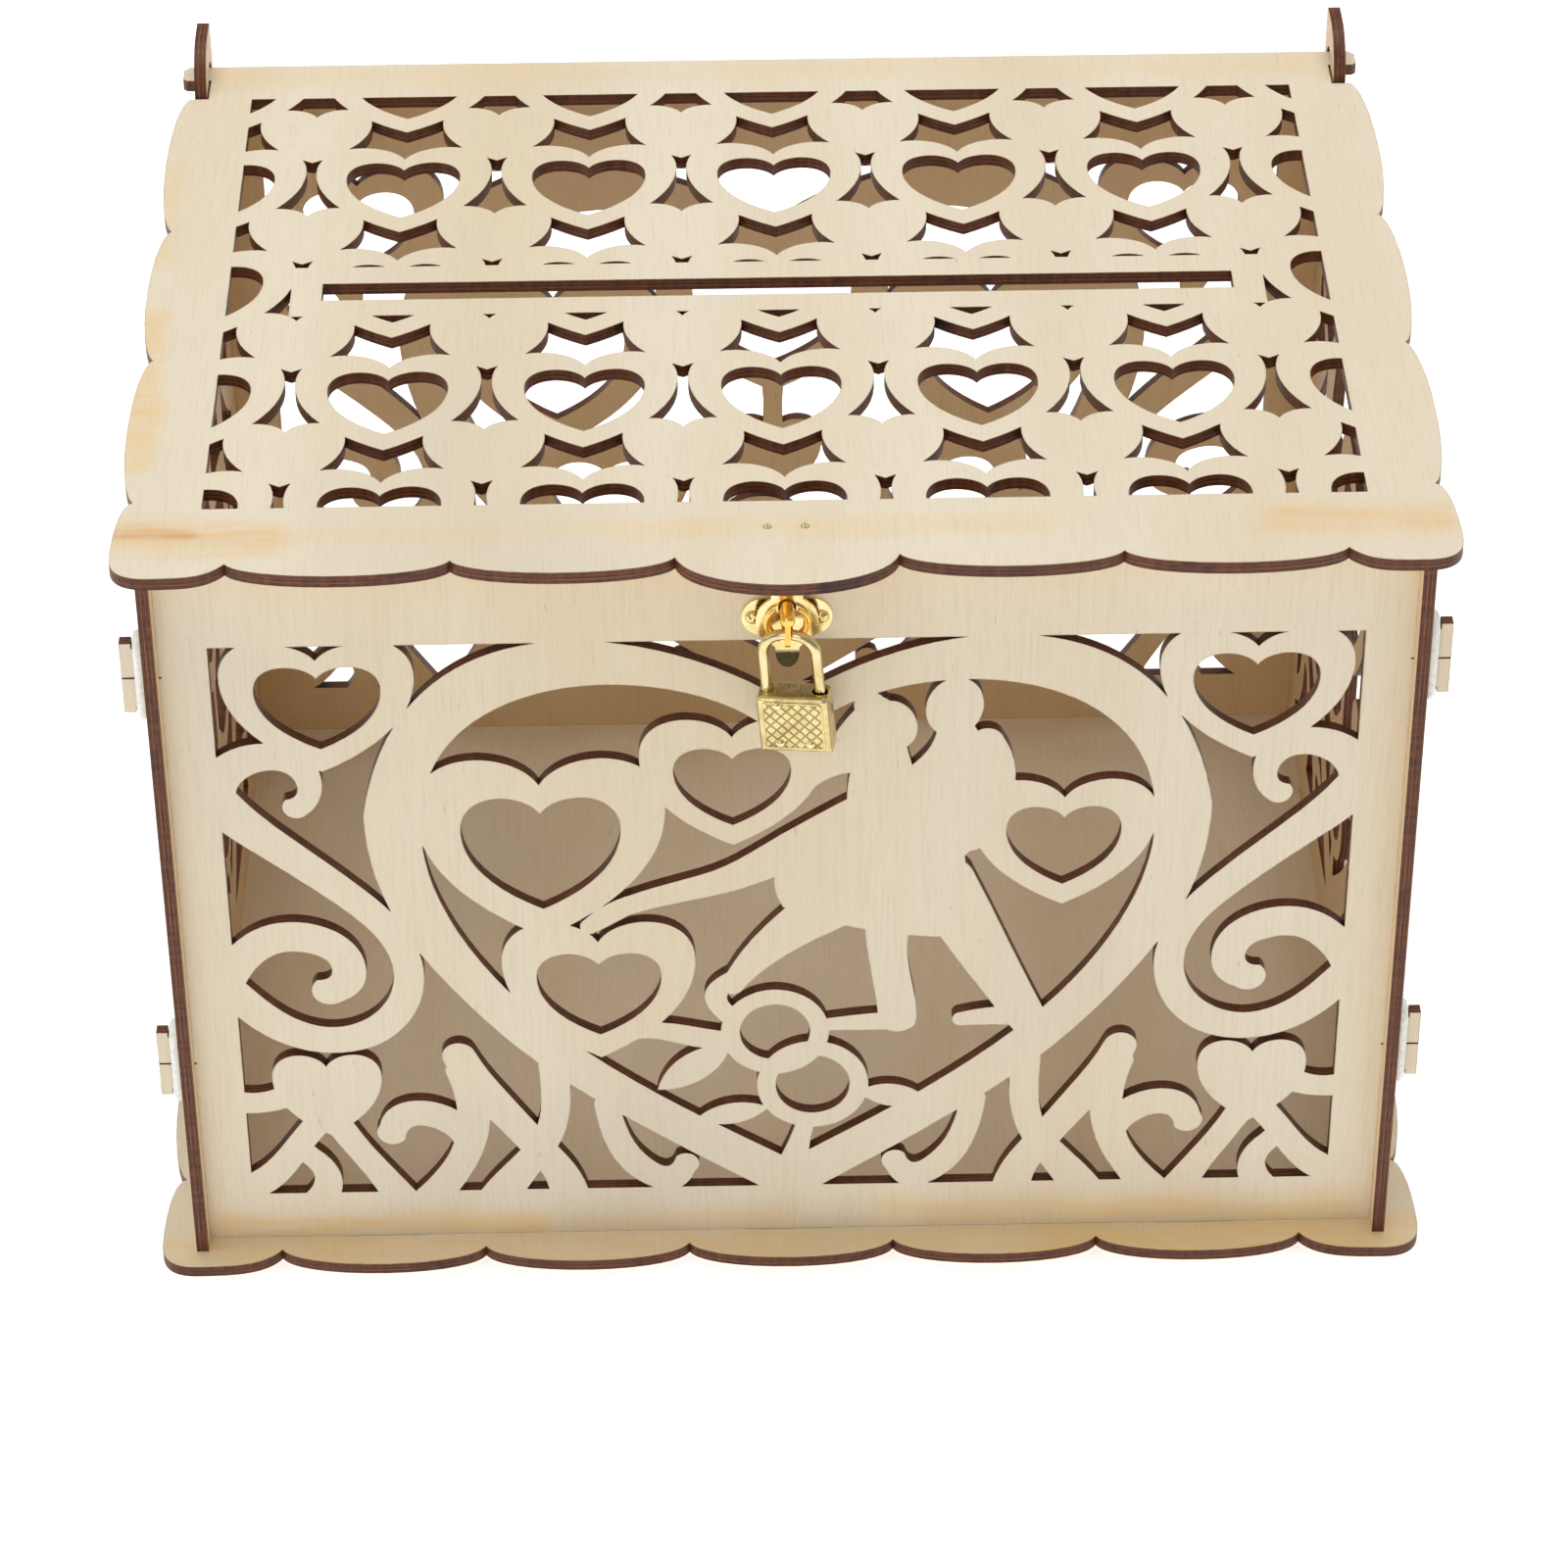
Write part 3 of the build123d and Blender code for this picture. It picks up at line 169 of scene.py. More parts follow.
# ---- shader helpers ------------------------------------------------------------------
@dataclass
class Tree:
    """A node tree with short ways to add and join nodes."""

    tree: bpy.types.NodeTree

    def node(self, kind: str, **settings: object) -> bpy.types.Node:
        """Add a node.

        Args:
            kind: The node's type without the ShaderNode prefix.
            **settings: Properties of the node, such as operation.

        Returns:
            The new node.
        """
        made = self.tree.nodes.new(kind if kind.startswith("Node") else f"ShaderNode{kind}")
        for name, value in settings.items():
            setattr(made, name, value)
        return made

    def feed(self, target: bpy.types.NodeSocket, value: object) -> None:
        """Link a socket to an input, or set the input to a plain value."""
        if isinstance(value, bpy.types.NodeSocket):
            self.tree.links.new(value, target)
        else:
            target.default_value = value

    def math(self, operation: str, a: object, b: object = 0.0, clamp: bool = False) -> bpy.types.NodeSocket:
        """A Math node on two values or sockets.

        Args:
            operation: The node's operation.
            a: First value or socket.
            b: Second value or socket.
            clamp: Whether the result is held between 0 and 1.

        Returns:
            The result socket.
        """
        made = self.node("Math", operation=operation, use_clamp=clamp)
        self.feed(made.inputs[0], a)
        self.feed(made.inputs[1], b)
        return made.outputs[0]

    def ramp(self, value: object, low: float, high: float, to_low: float = 0.0,
             to_high: float = 1.0) -> bpy.types.NodeSocket:
        """Map a range of a value smoothly onto another range."""
        made = self.node("MapRange", interpolation_type="SMOOTHSTEP")
        self.feed(made.inputs["Value"], value)
        for name, number in (("From Min", low), ("From Max", high), ("To Min", to_low), ("To Max", to_high)):
            made.inputs[name].default_value = number
        return made.outputs["Result"]

    def mix(self, factor: object, a: object, b: object, blend: str = "MIX") -> bpy.types.NodeSocket:
        """Mix two colours.

        Args:
            factor: How much of the second colour.
            a: First colour or socket.
            b: Second colour or socket.
            blend: The node's blend type.

        Returns:
            The mixed colour.
        """
        made = self.node("Mix", data_type="RGBA", blend_type=blend)
        self.feed(made.inputs[0], factor)
        self.feed(made.inputs[6], a)
        self.feed(made.inputs[7], b)
        return made.outputs[2]

    def noise(self, vector: object, scale: float, detail: float = 2.0,
              roughness: float = 0.5) -> bpy.types.NodeSocket:
        """A noise texture's value."""
        made = self.node("TexNoise")
        self.feed(made.inputs["Vector"], vector)
        made.inputs["Scale"].default_value = scale
        made.inputs["Detail"].default_value = detail
        made.inputs["Roughness"].default_value = roughness
        return made.outputs["Fac"]

    def stretch(self, vector: object, x: float, y: float, z: float) -> bpy.types.NodeSocket:
        """Scale a vector differently along its three axes."""
        made = self.node("VectorMath", operation="MULTIPLY")
        self.feed(made.inputs[0], vector)
        made.inputs[1].default_value = (x, y, z)
        return made.outputs[0]

    def bump(self, height: object, strength: float, depth: float) -> bpy.types.NodeSocket:
        """A bumped normal from a height."""
        made = self.node("Bump")
        made.inputs["Strength"].default_value = strength
        made.inputs["Distance"].default_value = depth
        self.feed(made.inputs["Height"], height)
        return made.outputs["Normal"]


def new_group(name: str, inputs: dict[str, str], outputs: dict[str, str]) -> tuple[Tree, dict, dict]:
    """Start a shader node group.

    Args:
        name: The group's name.
        inputs: Input names and their socket kinds (Float, Vector or Color).
        outputs: Output names and their socket kinds.

    Returns:
        The tree, its input sockets by name, and its output sockets by name.
    """
    group = bpy.data.node_groups.new(name, "ShaderNodeTree")
    for label, kind in inputs.items():
        group.interface.new_socket(label, in_out="INPUT", socket_type=f"NodeSocket{kind}")
    for label, kind in outputs.items():
        group.interface.new_socket(label, in_out="OUTPUT", socket_type=f"NodeSocket{kind}")
    tree = Tree(group)
    start, end = tree.node("NodeGroupInput"), tree.node("NodeGroupOutput")
    return tree, {k: start.outputs[k] for k in inputs}, {k: end.inputs[k] for k in outputs}


def use_group(tree: Tree, group: bpy.types.NodeTree, **values: object) -> bpy.types.NodeOutputs:
    """Place a node group in a material, with its inputs given by name (spaces as underscores)."""
    made = tree.node("Group", node_tree=group)
    for label, value in values.items():
        tree.feed(made.inputs[label.replace("_", " ")], value)
    return made.outputs


def new_material(name: str) -> tuple[bpy.types.Material, Tree, bpy.types.Node]:
    """Start a material.

    Args:
        name: The material's name.

    Returns:
        The material, its tree and its main shader.
    """
    material = bpy.data.materials.new(name)
    material.use_nodes = True
    return material, Tree(material.node_tree), material.node_tree.nodes["Principled BSDF"]


def put_on(obj: bpy.types.Object, material: bpy.types.Material) -> None:
    """Make a material the only one of an object."""
    if not obj.data.materials:
        obj.data.materials.append(material)
    for i in range(len(obj.data.materials)):
        obj.data.materials[i] = material


# ---- plywood -------------------------------------------------------------------------
@dataclass(frozen=True)
class BirchTones:
    """Colours of the bare birch faces and of the scorched cut edges."""

    pale: Colour = srgb(233, 221, 198)
    warm: Colour = srgb(226, 209, 179)
    fibre: Colour = srgb(204, 186, 156)
    fleck: Colour = srgb(163, 138, 108)
    grey: Colour = srgb(215, 206, 191)
    halo: Colour = srgb(128, 92, 62)
    char: Colour = srgb(58, 29, 17)
    ember: Colour = srgb(118, 66, 38)
    ply_line: Colour = srgb(168, 106, 62)
    soot: Colour = srgb(24, 19, 17)


@dataclass
class PlywoodWorks:
    """The shader groups that every plywood piece shares."""

    tones: BirchTones = field(default_factory=BirchTones)
    scorch_reach: float = 0.55 * MM
    face_relief: float = 0.05 * MM
    face_shine: float = 0.35
    glue_lines: tuple[tuple[float, float, float], ...] = (
        (0.36, 0.05, 0.7),
        (0.68, 0.04, 0.45),
        (0.93, 0.05, 0.6),
    )

    def build(self) -> None:
        """Make the grain, the burnt edge and the halo once."""
        self.grain = self.make_grain()
        self.burnt = self.make_burnt_edge()
        self.halo = self.make_halo()

    def make_grain(self) -> bpy.types.NodeTree:
        """Birch veneer: soft bands, long fibres and short dark flecks.

        Returns:
            The group, from a place on the sheet to a colour and a height.
        """
        t, given, made = new_group("birch_grain", {"Place": "Vector", "Age": "Float"},
                                   {"Color": "Color", "Height": "Float"})
        bands = t.noise(t.stretch(given["Place"], 20, 2.4, 20), 1.0, 3.0)
        clouds = t.noise(given["Place"], 9.0, 3.0)
        fibres = t.noise(t.stretch(given["Place"], 1500, 60, 300), 1.0, 3.0, 0.65)
        felt = t.noise(t.stretch(given["Place"], 2600, 420, 800), 1.0, 3.0, 0.7)
        pores = t.noise(t.stretch(given["Place"], 1100, 170, 300), 1.0, 1.0, 0.5)
        colour = t.mix(t.ramp(bands, 0.3, 0.75), self.tones.pale, self.tones.warm)
        colour = t.mix(t.math("MULTIPLY", t.ramp(clouds, 0.5, 0.8), given["Age"]), colour, self.tones.grey)
        colour = t.mix(t.ramp(fibres, 0.4, 0.9, 0.0, 0.45), colour, self.tones.fibre)
        colour = t.mix(t.ramp(felt, 0.45, 0.8, 0.0, 0.22), colour, self.tones.fibre)
        fleck = t.ramp(pores, 0.75, 0.83, 0.0, 0.38)
        colour = t.mix(fleck, colour, self.tones.fleck)
        t.feed(made["Color"], colour)
        rough = t.math("ADD", t.math("MULTIPLY", fibres, 0.5), t.math("MULTIPLY", felt, 0.6))
        height = t.math("SUBTRACT", rough, t.math("MULTIPLY", fleck, 1.0))
        t.feed(made["Height"], height)
        return t.tree

    def make_burnt_edge(self) -> bpy.types.NodeTree:
        """The laser-cut edge: charred plies, paler lines between them and fine upright streaks.

        Returns:
            The group, from a place and a depth through the sheet to a colour and a height.
        """
        t, given, made = new_group("burnt_edge", {"Place": "Vector", "Depth": "Float"},
                                   {"Color": "Color", "Height": "Float"})
        wander = t.noise(given["Place"], 70.0, 3.0)
        streaks = t.noise(t.stretch(given["Place"], 700, 700, 130), 1.0, 2.0)
        layers = t.node("CombineXYZ")
        t.feed(layers.inputs[0], t.math("MULTIPLY", given["Depth"], 4.0))
        t.feed(layers.inputs[1], t.math("MULTIPLY", wander, 3.0))
        laid = t.noise(layers.outputs[0], 3.2, 3.0, 0.6)
        toast = t.math("ADD", t.math("MULTIPLY", laid, 0.75), t.math("MULTIPLY", streaks, 0.3))
        colour = t.mix(t.ramp(toast, 0.38, 0.72), self.tones.char, self.tones.ember)
        shifted = t.math("ADD", given["Depth"], t.math("MULTIPLY", t.math("SUBTRACT", wander, 0.5), 0.06))
        for level, width, strength in self.glue_lines:
            off = t.math("ABSOLUTE", t.math("SUBTRACT", shifted, level))
            faded = t.ramp(off, 0.0, width, strength, 0.0)
            line = t.math("MULTIPLY", faded, t.ramp(wander, 0.3, 0.6, 0.3, 1.0))
            colour = t.mix(line, colour, self.tones.ply_line)
        soot = t.ramp(t.noise(given["Place"], 28.0, 2.0), 0.63, 0.74, 0.0, 0.75)
        colour = t.mix(soot, colour, self.tones.soot)
        t.feed(made["Color"], colour)
        t.feed(made["Height"], t.math("ADD", streaks, laid))
        return t.tree

    def make_halo(self) -> bpy.types.NodeTree:
        """A mask that is 1 beside a cut edge and fades over a given reach.

        Returns:
            The group, with a Mask output.
        """
        t, given, made = new_group("scorch_halo", {"Reach": "Float"}, {"Mask": "Float"})
        bevel = t.node("Bevel", samples=6)
        t.feed(bevel.inputs["Radius"], given["Reach"])
        geometry = t.node("NewGeometry")
        dot = t.node("VectorMath", operation="DOT_PRODUCT")
        t.feed(dot.inputs[0], bevel.outputs["Normal"])
        t.feed(dot.inputs[1], geometry.outputs["Normal"])
        t.feed(made["Mask"], t.ramp(dot.outputs["Value"], 0.999, 0.86))
        return t.tree

    def dress(self, node: str, sheet: Sheet, low: float, high: float, stains: list["Stain"],
              inward: int, inner: Colour, tars: list["Stain"]) -> None:
        """Give a plywood node its finish.

        Args:
            node: The CAD node.
            sheet: Which way the sheet stands.
            low: The sheet's lower face, along the axis through it.
            high: The sheet's upper face.
            stains: Yellowed patches on the faces.
            inward: Which face turns into the box and is tinted darker, partly a darker back veneer and partly painted
                shade: 1 the upper, -1 the lower, 0 neither.
            inner: The tint of that face.
            tars: Blackened patches on the cut edge.
        """
        material, t, shader = new_material(f"birch_ply_{node}")
        place = t.node("TexCoord")
        axes = t.node("SeparateXYZ")
        t.feed(axes.inputs[0], place.outputs["Object"])
        across, along, through = (axes.outputs[a] for a in sheet.value)
        local = t.node("CombineXYZ")
        for i, value in enumerate((across, along, through)):
            t.feed(local.inputs[i], value)
        turned = t.node("SeparateXYZ")
        t.feed(turned.inputs[0], place.outputs["Normal"])
        is_face = t.ramp(t.math("ABSOLUTE", turned.outputs[sheet.value[2]]), 0.5, 0.6)
        depth = t.math("DIVIDE", t.math("SUBTRACT", through, low), high - low)

        grain = use_group(t, self.grain, Place=local.outputs[0], Age=0.5)
        bare = grain["Color"]
        face = bare
        for stain in stains:
            face = t.mix(stain.mask(t, across, along, local.outputs[0]), face, stain.colour)
        # Faces turned into the box are tinted darker: partly a darker back veneer, partly painted shade of the box's
        # interior.
        if inward:
            inward_face = t.math("MULTIPLY", turned.outputs[sheet.value[2]], float(inward), clamp=True)
            face = t.mix(inward_face, face, t.mix(1.0, bare, inner, "MULTIPLY"))
        halo = use_group(t, self.halo, Reach=self.scorch_reach)
        smoke = t.noise(local.outputs[0], 260.0, 3.0)
        ring = t.math("MULTIPLY", halo["Mask"], t.ramp(smoke, 0.25, 0.75, 0.15, 0.8))
        face = t.mix(ring, face, self.tones.halo)
        burnt = use_group(t, self.burnt, Place=local.outputs[0], Depth=depth)
        edge = burnt["Color"]
        for tar in tars:
            edge = t.mix(tar.mask(t, across, along, local.outputs[0]), edge, tar.colour)
        t.feed(shader.inputs["Base Color"], t.mix(is_face, edge, face))
        t.feed(shader.inputs["Roughness"], t.ramp(grain["Height"], 0.0, 0.6, 0.62, 0.5))
        blend = t.node("Mix", data_type="FLOAT")
        t.feed(blend.inputs[0], is_face)
        t.feed(blend.inputs[2], t.math("MULTIPLY", burnt["Height"], 2.0))
        t.feed(blend.inputs[3], grain["Height"])
        t.feed(shader.inputs["Normal"], t.bump(blend.outputs[0], 0.35, self.face_relief))
        shader.inputs["Specular IOR Level"].default_value = self.face_shine
        put_on(frame["nodes"][node], material)


@dataclass(frozen=True)
class Stain:
    """A yellowed patch of veneer, a soft box on the sheet with a ragged edge."""

    across: tuple[float, float]
    along: tuple[float, float]
    strength: float = 0.5
    soft: float = 5.0
    colour: Colour = srgb(233, 196, 128)

    def mask(self, t: Tree, across: bpy.types.NodeSocket, along: bpy.types.NodeSocket,
             place: bpy.types.NodeSocket) -> bpy.types.NodeSocket:
        """The patch as a mask on the sheet.

        Args:
            t: The material's tree.
            across: Place across the grain.
            along: Place along the grain.
            place: The place as a vector, for the ragged edge.

        Returns:
            The mask.
        """
        torn = t.noise(t.stretch(place, 30, 90, 30), 1.0, 4.0)
        ragged = t.math("MULTIPLY", t.math("SUBTRACT", torn, 0.5), 2.2 * self.soft * MM)
        total = self.strength
        for value, (low, high) in ((across, self.across), (along, self.along)):
            moved = t.math("ADD", value, ragged)
            middle, half = (low + high) / 2 * MM, (high - low) / 2 * MM
            away = t.math("ABSOLUTE", t.math("SUBTRACT", moved, middle))
            inside = t.ramp(away, max(half - self.soft * MM, 0.0), half + self.soft * MM, 1.0, 0.0)
            total = t.math("MULTIPLY", inside, total)
        streaks = t.noise(t.stretch(place, 60, 500, 60), 1.0, 3.0)
        return t.math("MULTIPLY", total, t.ramp(streaks, 0.2, 0.8, 0.35, 1.0))


# ---- metal and rubber ----------------------------------------------------------------
@dataclass(frozen=True)
class Plating:
    """A brass-plated finish, which may be painted dark below some height: a painted dark reflection on the hasp leaf's
    lip.
    """

    name: str
    bright: Colour
    worn: Colour
    dirt_and_painted_reflection: Colour
    roughness: float = 0.22
    grime: float = 0.3
    painted_reflection_below: float = 0.0
    scuffing: float = 0.18

    def material(self, patina: bpy.types.NodeTree) -> bpy.types.Material:
        """Build the plating with faint wear, scuffs and darker grime, and, where a height is given, a painted dark
        reflection below it.

        Args:
            patina: The shared group of clouds, scuffs and grime.

        Returns:
            The material.
        """
        material, t, shader = new_material(self.name)
        place = t.node("TexCoord").outputs["Object"]
        wear = use_group(t, patina, Place=place)
        colour = t.mix(wear["Cloud"], self.bright, self.worn)
        colour = t.mix(t.math("MULTIPLY", wear["Grime"], self.grime), colour, self.dirt_and_painted_reflection)
        # Below the given height the colour is painted dark: a painted reflection on the lip, not a worn finish.
        if self.painted_reflection_below:
            axes = t.node("SeparateXYZ")
            t.feed(axes.inputs[0], place)
            painted_reflection = t.ramp(axes.outputs["Z"], self.painted_reflection_below - 0.4 * MM, self.painted_reflection_below, 0.92, 0.0)
            colour = t.mix(painted_reflection, colour, self.dirt_and_painted_reflection)
        t.feed(shader.inputs["Base Color"], colour)
        shader.inputs["Metallic"].default_value = 1.0
        rough = t.ramp(wear["Scuff"], 0.3, 0.8, self.roughness, self.roughness + self.scuffing)
        t.feed(shader.inputs["Roughness"], rough)
        t.feed(shader.inputs["Normal"], t.bump(wear["Scuff"], 0.1, 0.02 * MM))
        return material


def make_patina() -> bpy.types.NodeTree:
    """The wear of a cheap plated pressing.

    Returns:
        The group, from a place to the masks Cloud, Scuff and Grime.
    """
    t, given, made = new_group("plating_patina", {"Place": "Vector"},
                               {"Cloud": "Float", "Scuff": "Float", "Grime": "Float"})
    cloud = t.noise(given["Place"], 240.0, 3.0)
    scuff = t.noise(t.stretch(given["Place"], 1500, 700, 1500), 1.0, 3.0)
    specks = t.noise(given["Place"], 620.0, 3.0, 0.6)
    t.feed(made["Cloud"], t.ramp(cloud, 0.35, 0.75))
    t.feed(made["Scuff"], scuff)
    t.feed(made["Grime"], t.ramp(specks, 0.58, 0.82))
    return t.tree


def silicone() -> bpy.types.Material:
    """Milky silicone rubber, slightly see-through with a dusty skin.

    Returns:
        The material.
    """
    material, t, shader = new_material("silicone_milky")
    place = t.node("TexCoord").outputs["Object"]
    dust = t.noise(place, 700.0, 4.0)
    skin = t.mix(t.ramp(dust, 0.35, 0.8), srgb(244, 244, 242), srgb(222, 221, 217))
    t.feed(shader.inputs["Base Color"], skin)
    t.feed(shader.inputs["Roughness"], t.ramp(dust, 0.3, 0.8, 0.34, 0.55))
    shader.inputs["Subsurface Weight"].default_value = 0.35
    shader.inputs["Subsurface Radius"].default_value = (1.0, 0.95, 0.9)
    shader.inputs["Subsurface Scale"].default_value = 1.2 * MM
    t.feed(shader.inputs["Normal"], t.bump(dust, 0.1, 0.03 * MM))
    return material


# ---- modelling helpers ---------------------------------------------------------------
def begin() -> None:
    """Let go of everything that is selected before a new piece."""
    bpy.ops.object.select_all(action="DESELECT")


def choose(obj: bpy.types.Object, test: Callable[[Vector], bool]) -> None:
    """Select the points of a mesh in edit mode by where they are.

    Args:
        obj: The object in edit mode.
        test: Says of a point's place, in the piece's own units, whether it is taken.
    """
    mesh = bmesh.from_edit_mesh(obj.data)
    bpy.context.tool_settings.mesh_select_mode = (True, False, False)
    for point in mesh.verts:
        point.select_set(False)
    for point in mesh.verts:
        if test(point.co):
            point.select_set(True)
    mesh.select_flush_mode()
    bmesh.update_edit_mesh(obj.data)


def finish_piece(obj: bpy.types.Object, name: str, place: Matrix, material: bpy.types.Material | None,
                 body: str, *instead_of: str) -> bpy.types.Object:
    """Put a piece in its place, dress it and hang it on its body.

    Args:
        obj: The piece, modelled around the origin.
        name: Its name.
        place: Where it goes.
        material: Its finish, or None where it has its own already.
        body: The body it rides on.
        *instead_of: CAD nodes that it replaces.

    Returns:
        The piece.
    """
    if obj.mode == "EDIT":
        bpy.ops.object.mode_set(mode="OBJECT")
    obj.name = name
    obj.data.transform(place @ obj.matrix_world)
    obj.matrix_world = Matrix.Identity(4)
    if material is not None:
        put_on(obj, material)
    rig.ride(obj, body)
    if instead_of:
        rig.replaces(obj, *instead_of)
    log.info("%s: %d faces", name, len(obj.data.polygons))
    return obj


# ---- the box -------------------------------------------------------------------------
@dataclass
class Carcass:
    """The plywood sheets of the box."""

    works: PlywoodWorks
    # Tint of the faces turned into the box: partly a darker back veneer, partly painted shade of the box's interior.
    inner: Colour = (0.98, 0.85, 0.68, 1.0)

    def dress(self) -> None:
        """Finish the base, the walls and the lid."""
        self.sheet("base_plate", Sheet.FLAT, [
            Stain((-156, 156), (-125, -108), 0.6),
            Stain((60, 150), (-125, -108), 0.5),
        ])
        self.sheet("front_panel", Sheet.FACING, [
            Stain((-142, -60), (3, 10), 0.75, 3.0),
            Stain((-70, 0), (4, 9), 0.35, 3.0),
            Stain((20, 142), (4, 12), 0.7, 4.0),
            Stain((-142, 142), (196, 204), 0.15, 6.0),
        ], 1)
        self.sheet("back_panel", Sheet.FACING, [], -1)
        self.sheet("left_side_panel", Sheet.SIDEWAYS, [], 1)
        self.sheet("right_side_panel", Sheet.SIDEWAYS, [], -1)
        self.sheet("lid_panel", Sheet.FLAT, [
            Stain((-153, -112), (-113, -102), 0.85, 5.0, srgb(229, 188, 122)),
            Stain((-153, -132), (-108, -105), 0.75, 2.0, srgb(206, 144, 76)),
            Stain((-118, -20), (-109, -104), 0.3, 4.0),
            Stain((-25, 60), (-110, -103), 0.4, 4.0),
            Stain((106, 152), (-111, -101), 0.75, 5.0, srgb(230, 190, 126)),
            Stain((-152, -144), (-80, -10), 0.7, 3.0),
            Stain((-152, -146), (10, 60), 0.4, 3.0),
            Stain((-146, 140), (98, 107), 0.3, 5.0),
        ], -1, [Stain((6, 18), (-131, -126), 1.0, 1.5, srgb(18, 15, 14))])
        log.info("plywood: six sheets dressed")

    def sheet(self, node: str, way: Sheet, stains: list[Stain], inward: int = 0,
              tars: list[Stain] | None = None) -> None:
        """Dress one sheet, with its thickness read from the frame.

        Args:
            node: The CAD node.
            way: Which way the sheet stands.
            stains: Its yellowed patches.
            inward: Which side, up or down its axis, turns into the box and is tinted darker, partly as a darker back
                veneer and partly as painted shade.
            tars: Blackened patches on its cut edge.
        """
        low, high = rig.box(node)
        i = "XYZ".index(way.value[2])
        self.works.dress(node, way, low[i], high[i], stains, inward, self.inner, tars or [])


@dataclass
class ElasticRings:
    """Silicone rings that hold the walls' corner tabs together."""

    wire: float = 2.2 * MM
    steps: int = 48
    sides: int = 16

    def build(self) -> None:
        """Model a ring in place of each CAD ring."""
        rubber = silicone()
        for name in sorted(n for n in frame["nodes"] if n.startswith("elastic_ring")):
            low, high = (Vector(v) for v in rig.box(name))
            self.ring(name, low, high, rubber)

    def ring(self, node: str, low: Vector, high: Vector, rubber: bpy.types.Material) -> None:
        """Model one ring: a round loop pulled long.

        Args:
            node: The CAD node it replaces.
            low: Lower corner of that node's box.
            high: Upper corner.
            rubber: Its finish.
        """
        begin()
        half_y = (high.y - low.y) / 2
        half_z = (high.z - low.z) / 2
        major = half_y - self.wire / 2
        bpy.ops.mesh.primitive_torus_add(major_segments=self.steps, minor_segments=self.sides,
                                         major_radius=major, minor_radius=self.wire / 2,
                                         rotation=(0, math.pi / 2, 0))
        ring = bpy.context.object
        bpy.ops.object.transform_apply(location=False, rotation=True, scale=False)
        bpy.ops.object.mode_set(mode="EDIT")
        pull = half_z - half_y
        for way in (1, -1):
            choose(ring, lambda v, way=way: v.z * way > 0.01 * MM)
            bpy.ops.transform.translate(value=(0, 0, way * pull))
        bpy.ops.mesh.select_all(action="SELECT")
        bpy.ops.mesh.subdivide(number_cuts=1, smoothness=0)
        bpy.ops.object.mode_set(mode="OBJECT")
        bpy.ops.object.shade_smooth()
        middle = Matrix.Translation((low + high) / 2)
        finish_piece(ring, node + "_rubber", middle, rubber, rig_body(node), node)


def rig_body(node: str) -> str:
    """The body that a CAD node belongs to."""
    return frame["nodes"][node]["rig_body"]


@dataclass
class Hasp:
    """The gilt hasp, with its raised bead."""

    finish: Plating = Plating(
        "hasp_gold", srgb(240, 222, 168), srgb(226, 198, 128), srgb(120, 82, 34),
        roughness=0.13, grime=0.3)
    # The leaf's lip below 179.6 mm is painted dark: a painted reflection. Its darker grime colour also serves as that
    # tone.
    leaf: Plating = Plating(
        "hasp_leaf_gold", srgb(240, 222, 168), srgb(226, 198, 128), srgb(58, 46, 24),
        roughness=0.13, grime=0.15, painted_reflection_below=179.6 * MM)
    rich: Plating = Plating(
        "hasp_bead_gold", srgb(248, 200, 104), srgb(228, 166, 66), srgb(120, 70, 20),
        roughness=0.16, grime=0.2)
    bead: float = 4.6 * MM
    bead_wire: float = 0.95 * MM
    slot_half: float = 1.45 * MM
    top_half: float = 2.3 * MM
    disc_z: float = 187.4 * MM
    face_y: float = -111.3 * MM
    sunk: float = 0.1 * MM

    def build(self, patina: bpy.types.NodeTree) -> None:
        """Finish the hasp's nodes and add the bead."""
        gold, deep = self.finish.material(patina), self.rich.material(patina)
        for name, node in frame["nodes"].items():
            if name.startswith(("hasp", "staple")):
                put_on(node, deep if name in ("staple", "hasp_pin", "hasp_bracket") else gold)
        put_on(frame["nodes"]["hasp_leaf"], self.leaf.material(patina))
        begin()
        bpy.ops.mesh.primitive_torus_add(major_segments=72, minor_segments=20, major_radius=self.bead,
                                         minor_radius=self.bead_wire, rotation=(math.pi / 2, 0, 0))
        bead = bpy.context.object
        bpy.ops.object.transform_apply(location=False, rotation=True, scale=False)
        bpy.ops.object.mode_set(mode="EDIT")
        choose(bead, lambda v: abs(v.x) < (self.top_half if v.z > 0 else self.slot_half))
        bpy.ops.mesh.delete(type="VERT")
        bpy.ops.mesh.select_all(action="DESELECT")
        bpy.context.tool_settings.mesh_select_mode = (False, True, False)
        bpy.ops.mesh.select_non_manifold()
        bpy.ops.mesh.fill_holes(sides=0)
        bpy.ops.object.mode_set(mode="OBJECT")
        bpy.ops.object.shade_smooth_by_angle(angle=math.radians(40))
        place = Matrix.Translation((0, self.face_y - self.sunk, self.disc_z))
        finish_piece(bead, "hasp_leaf_bead", place, deep, "leaf")


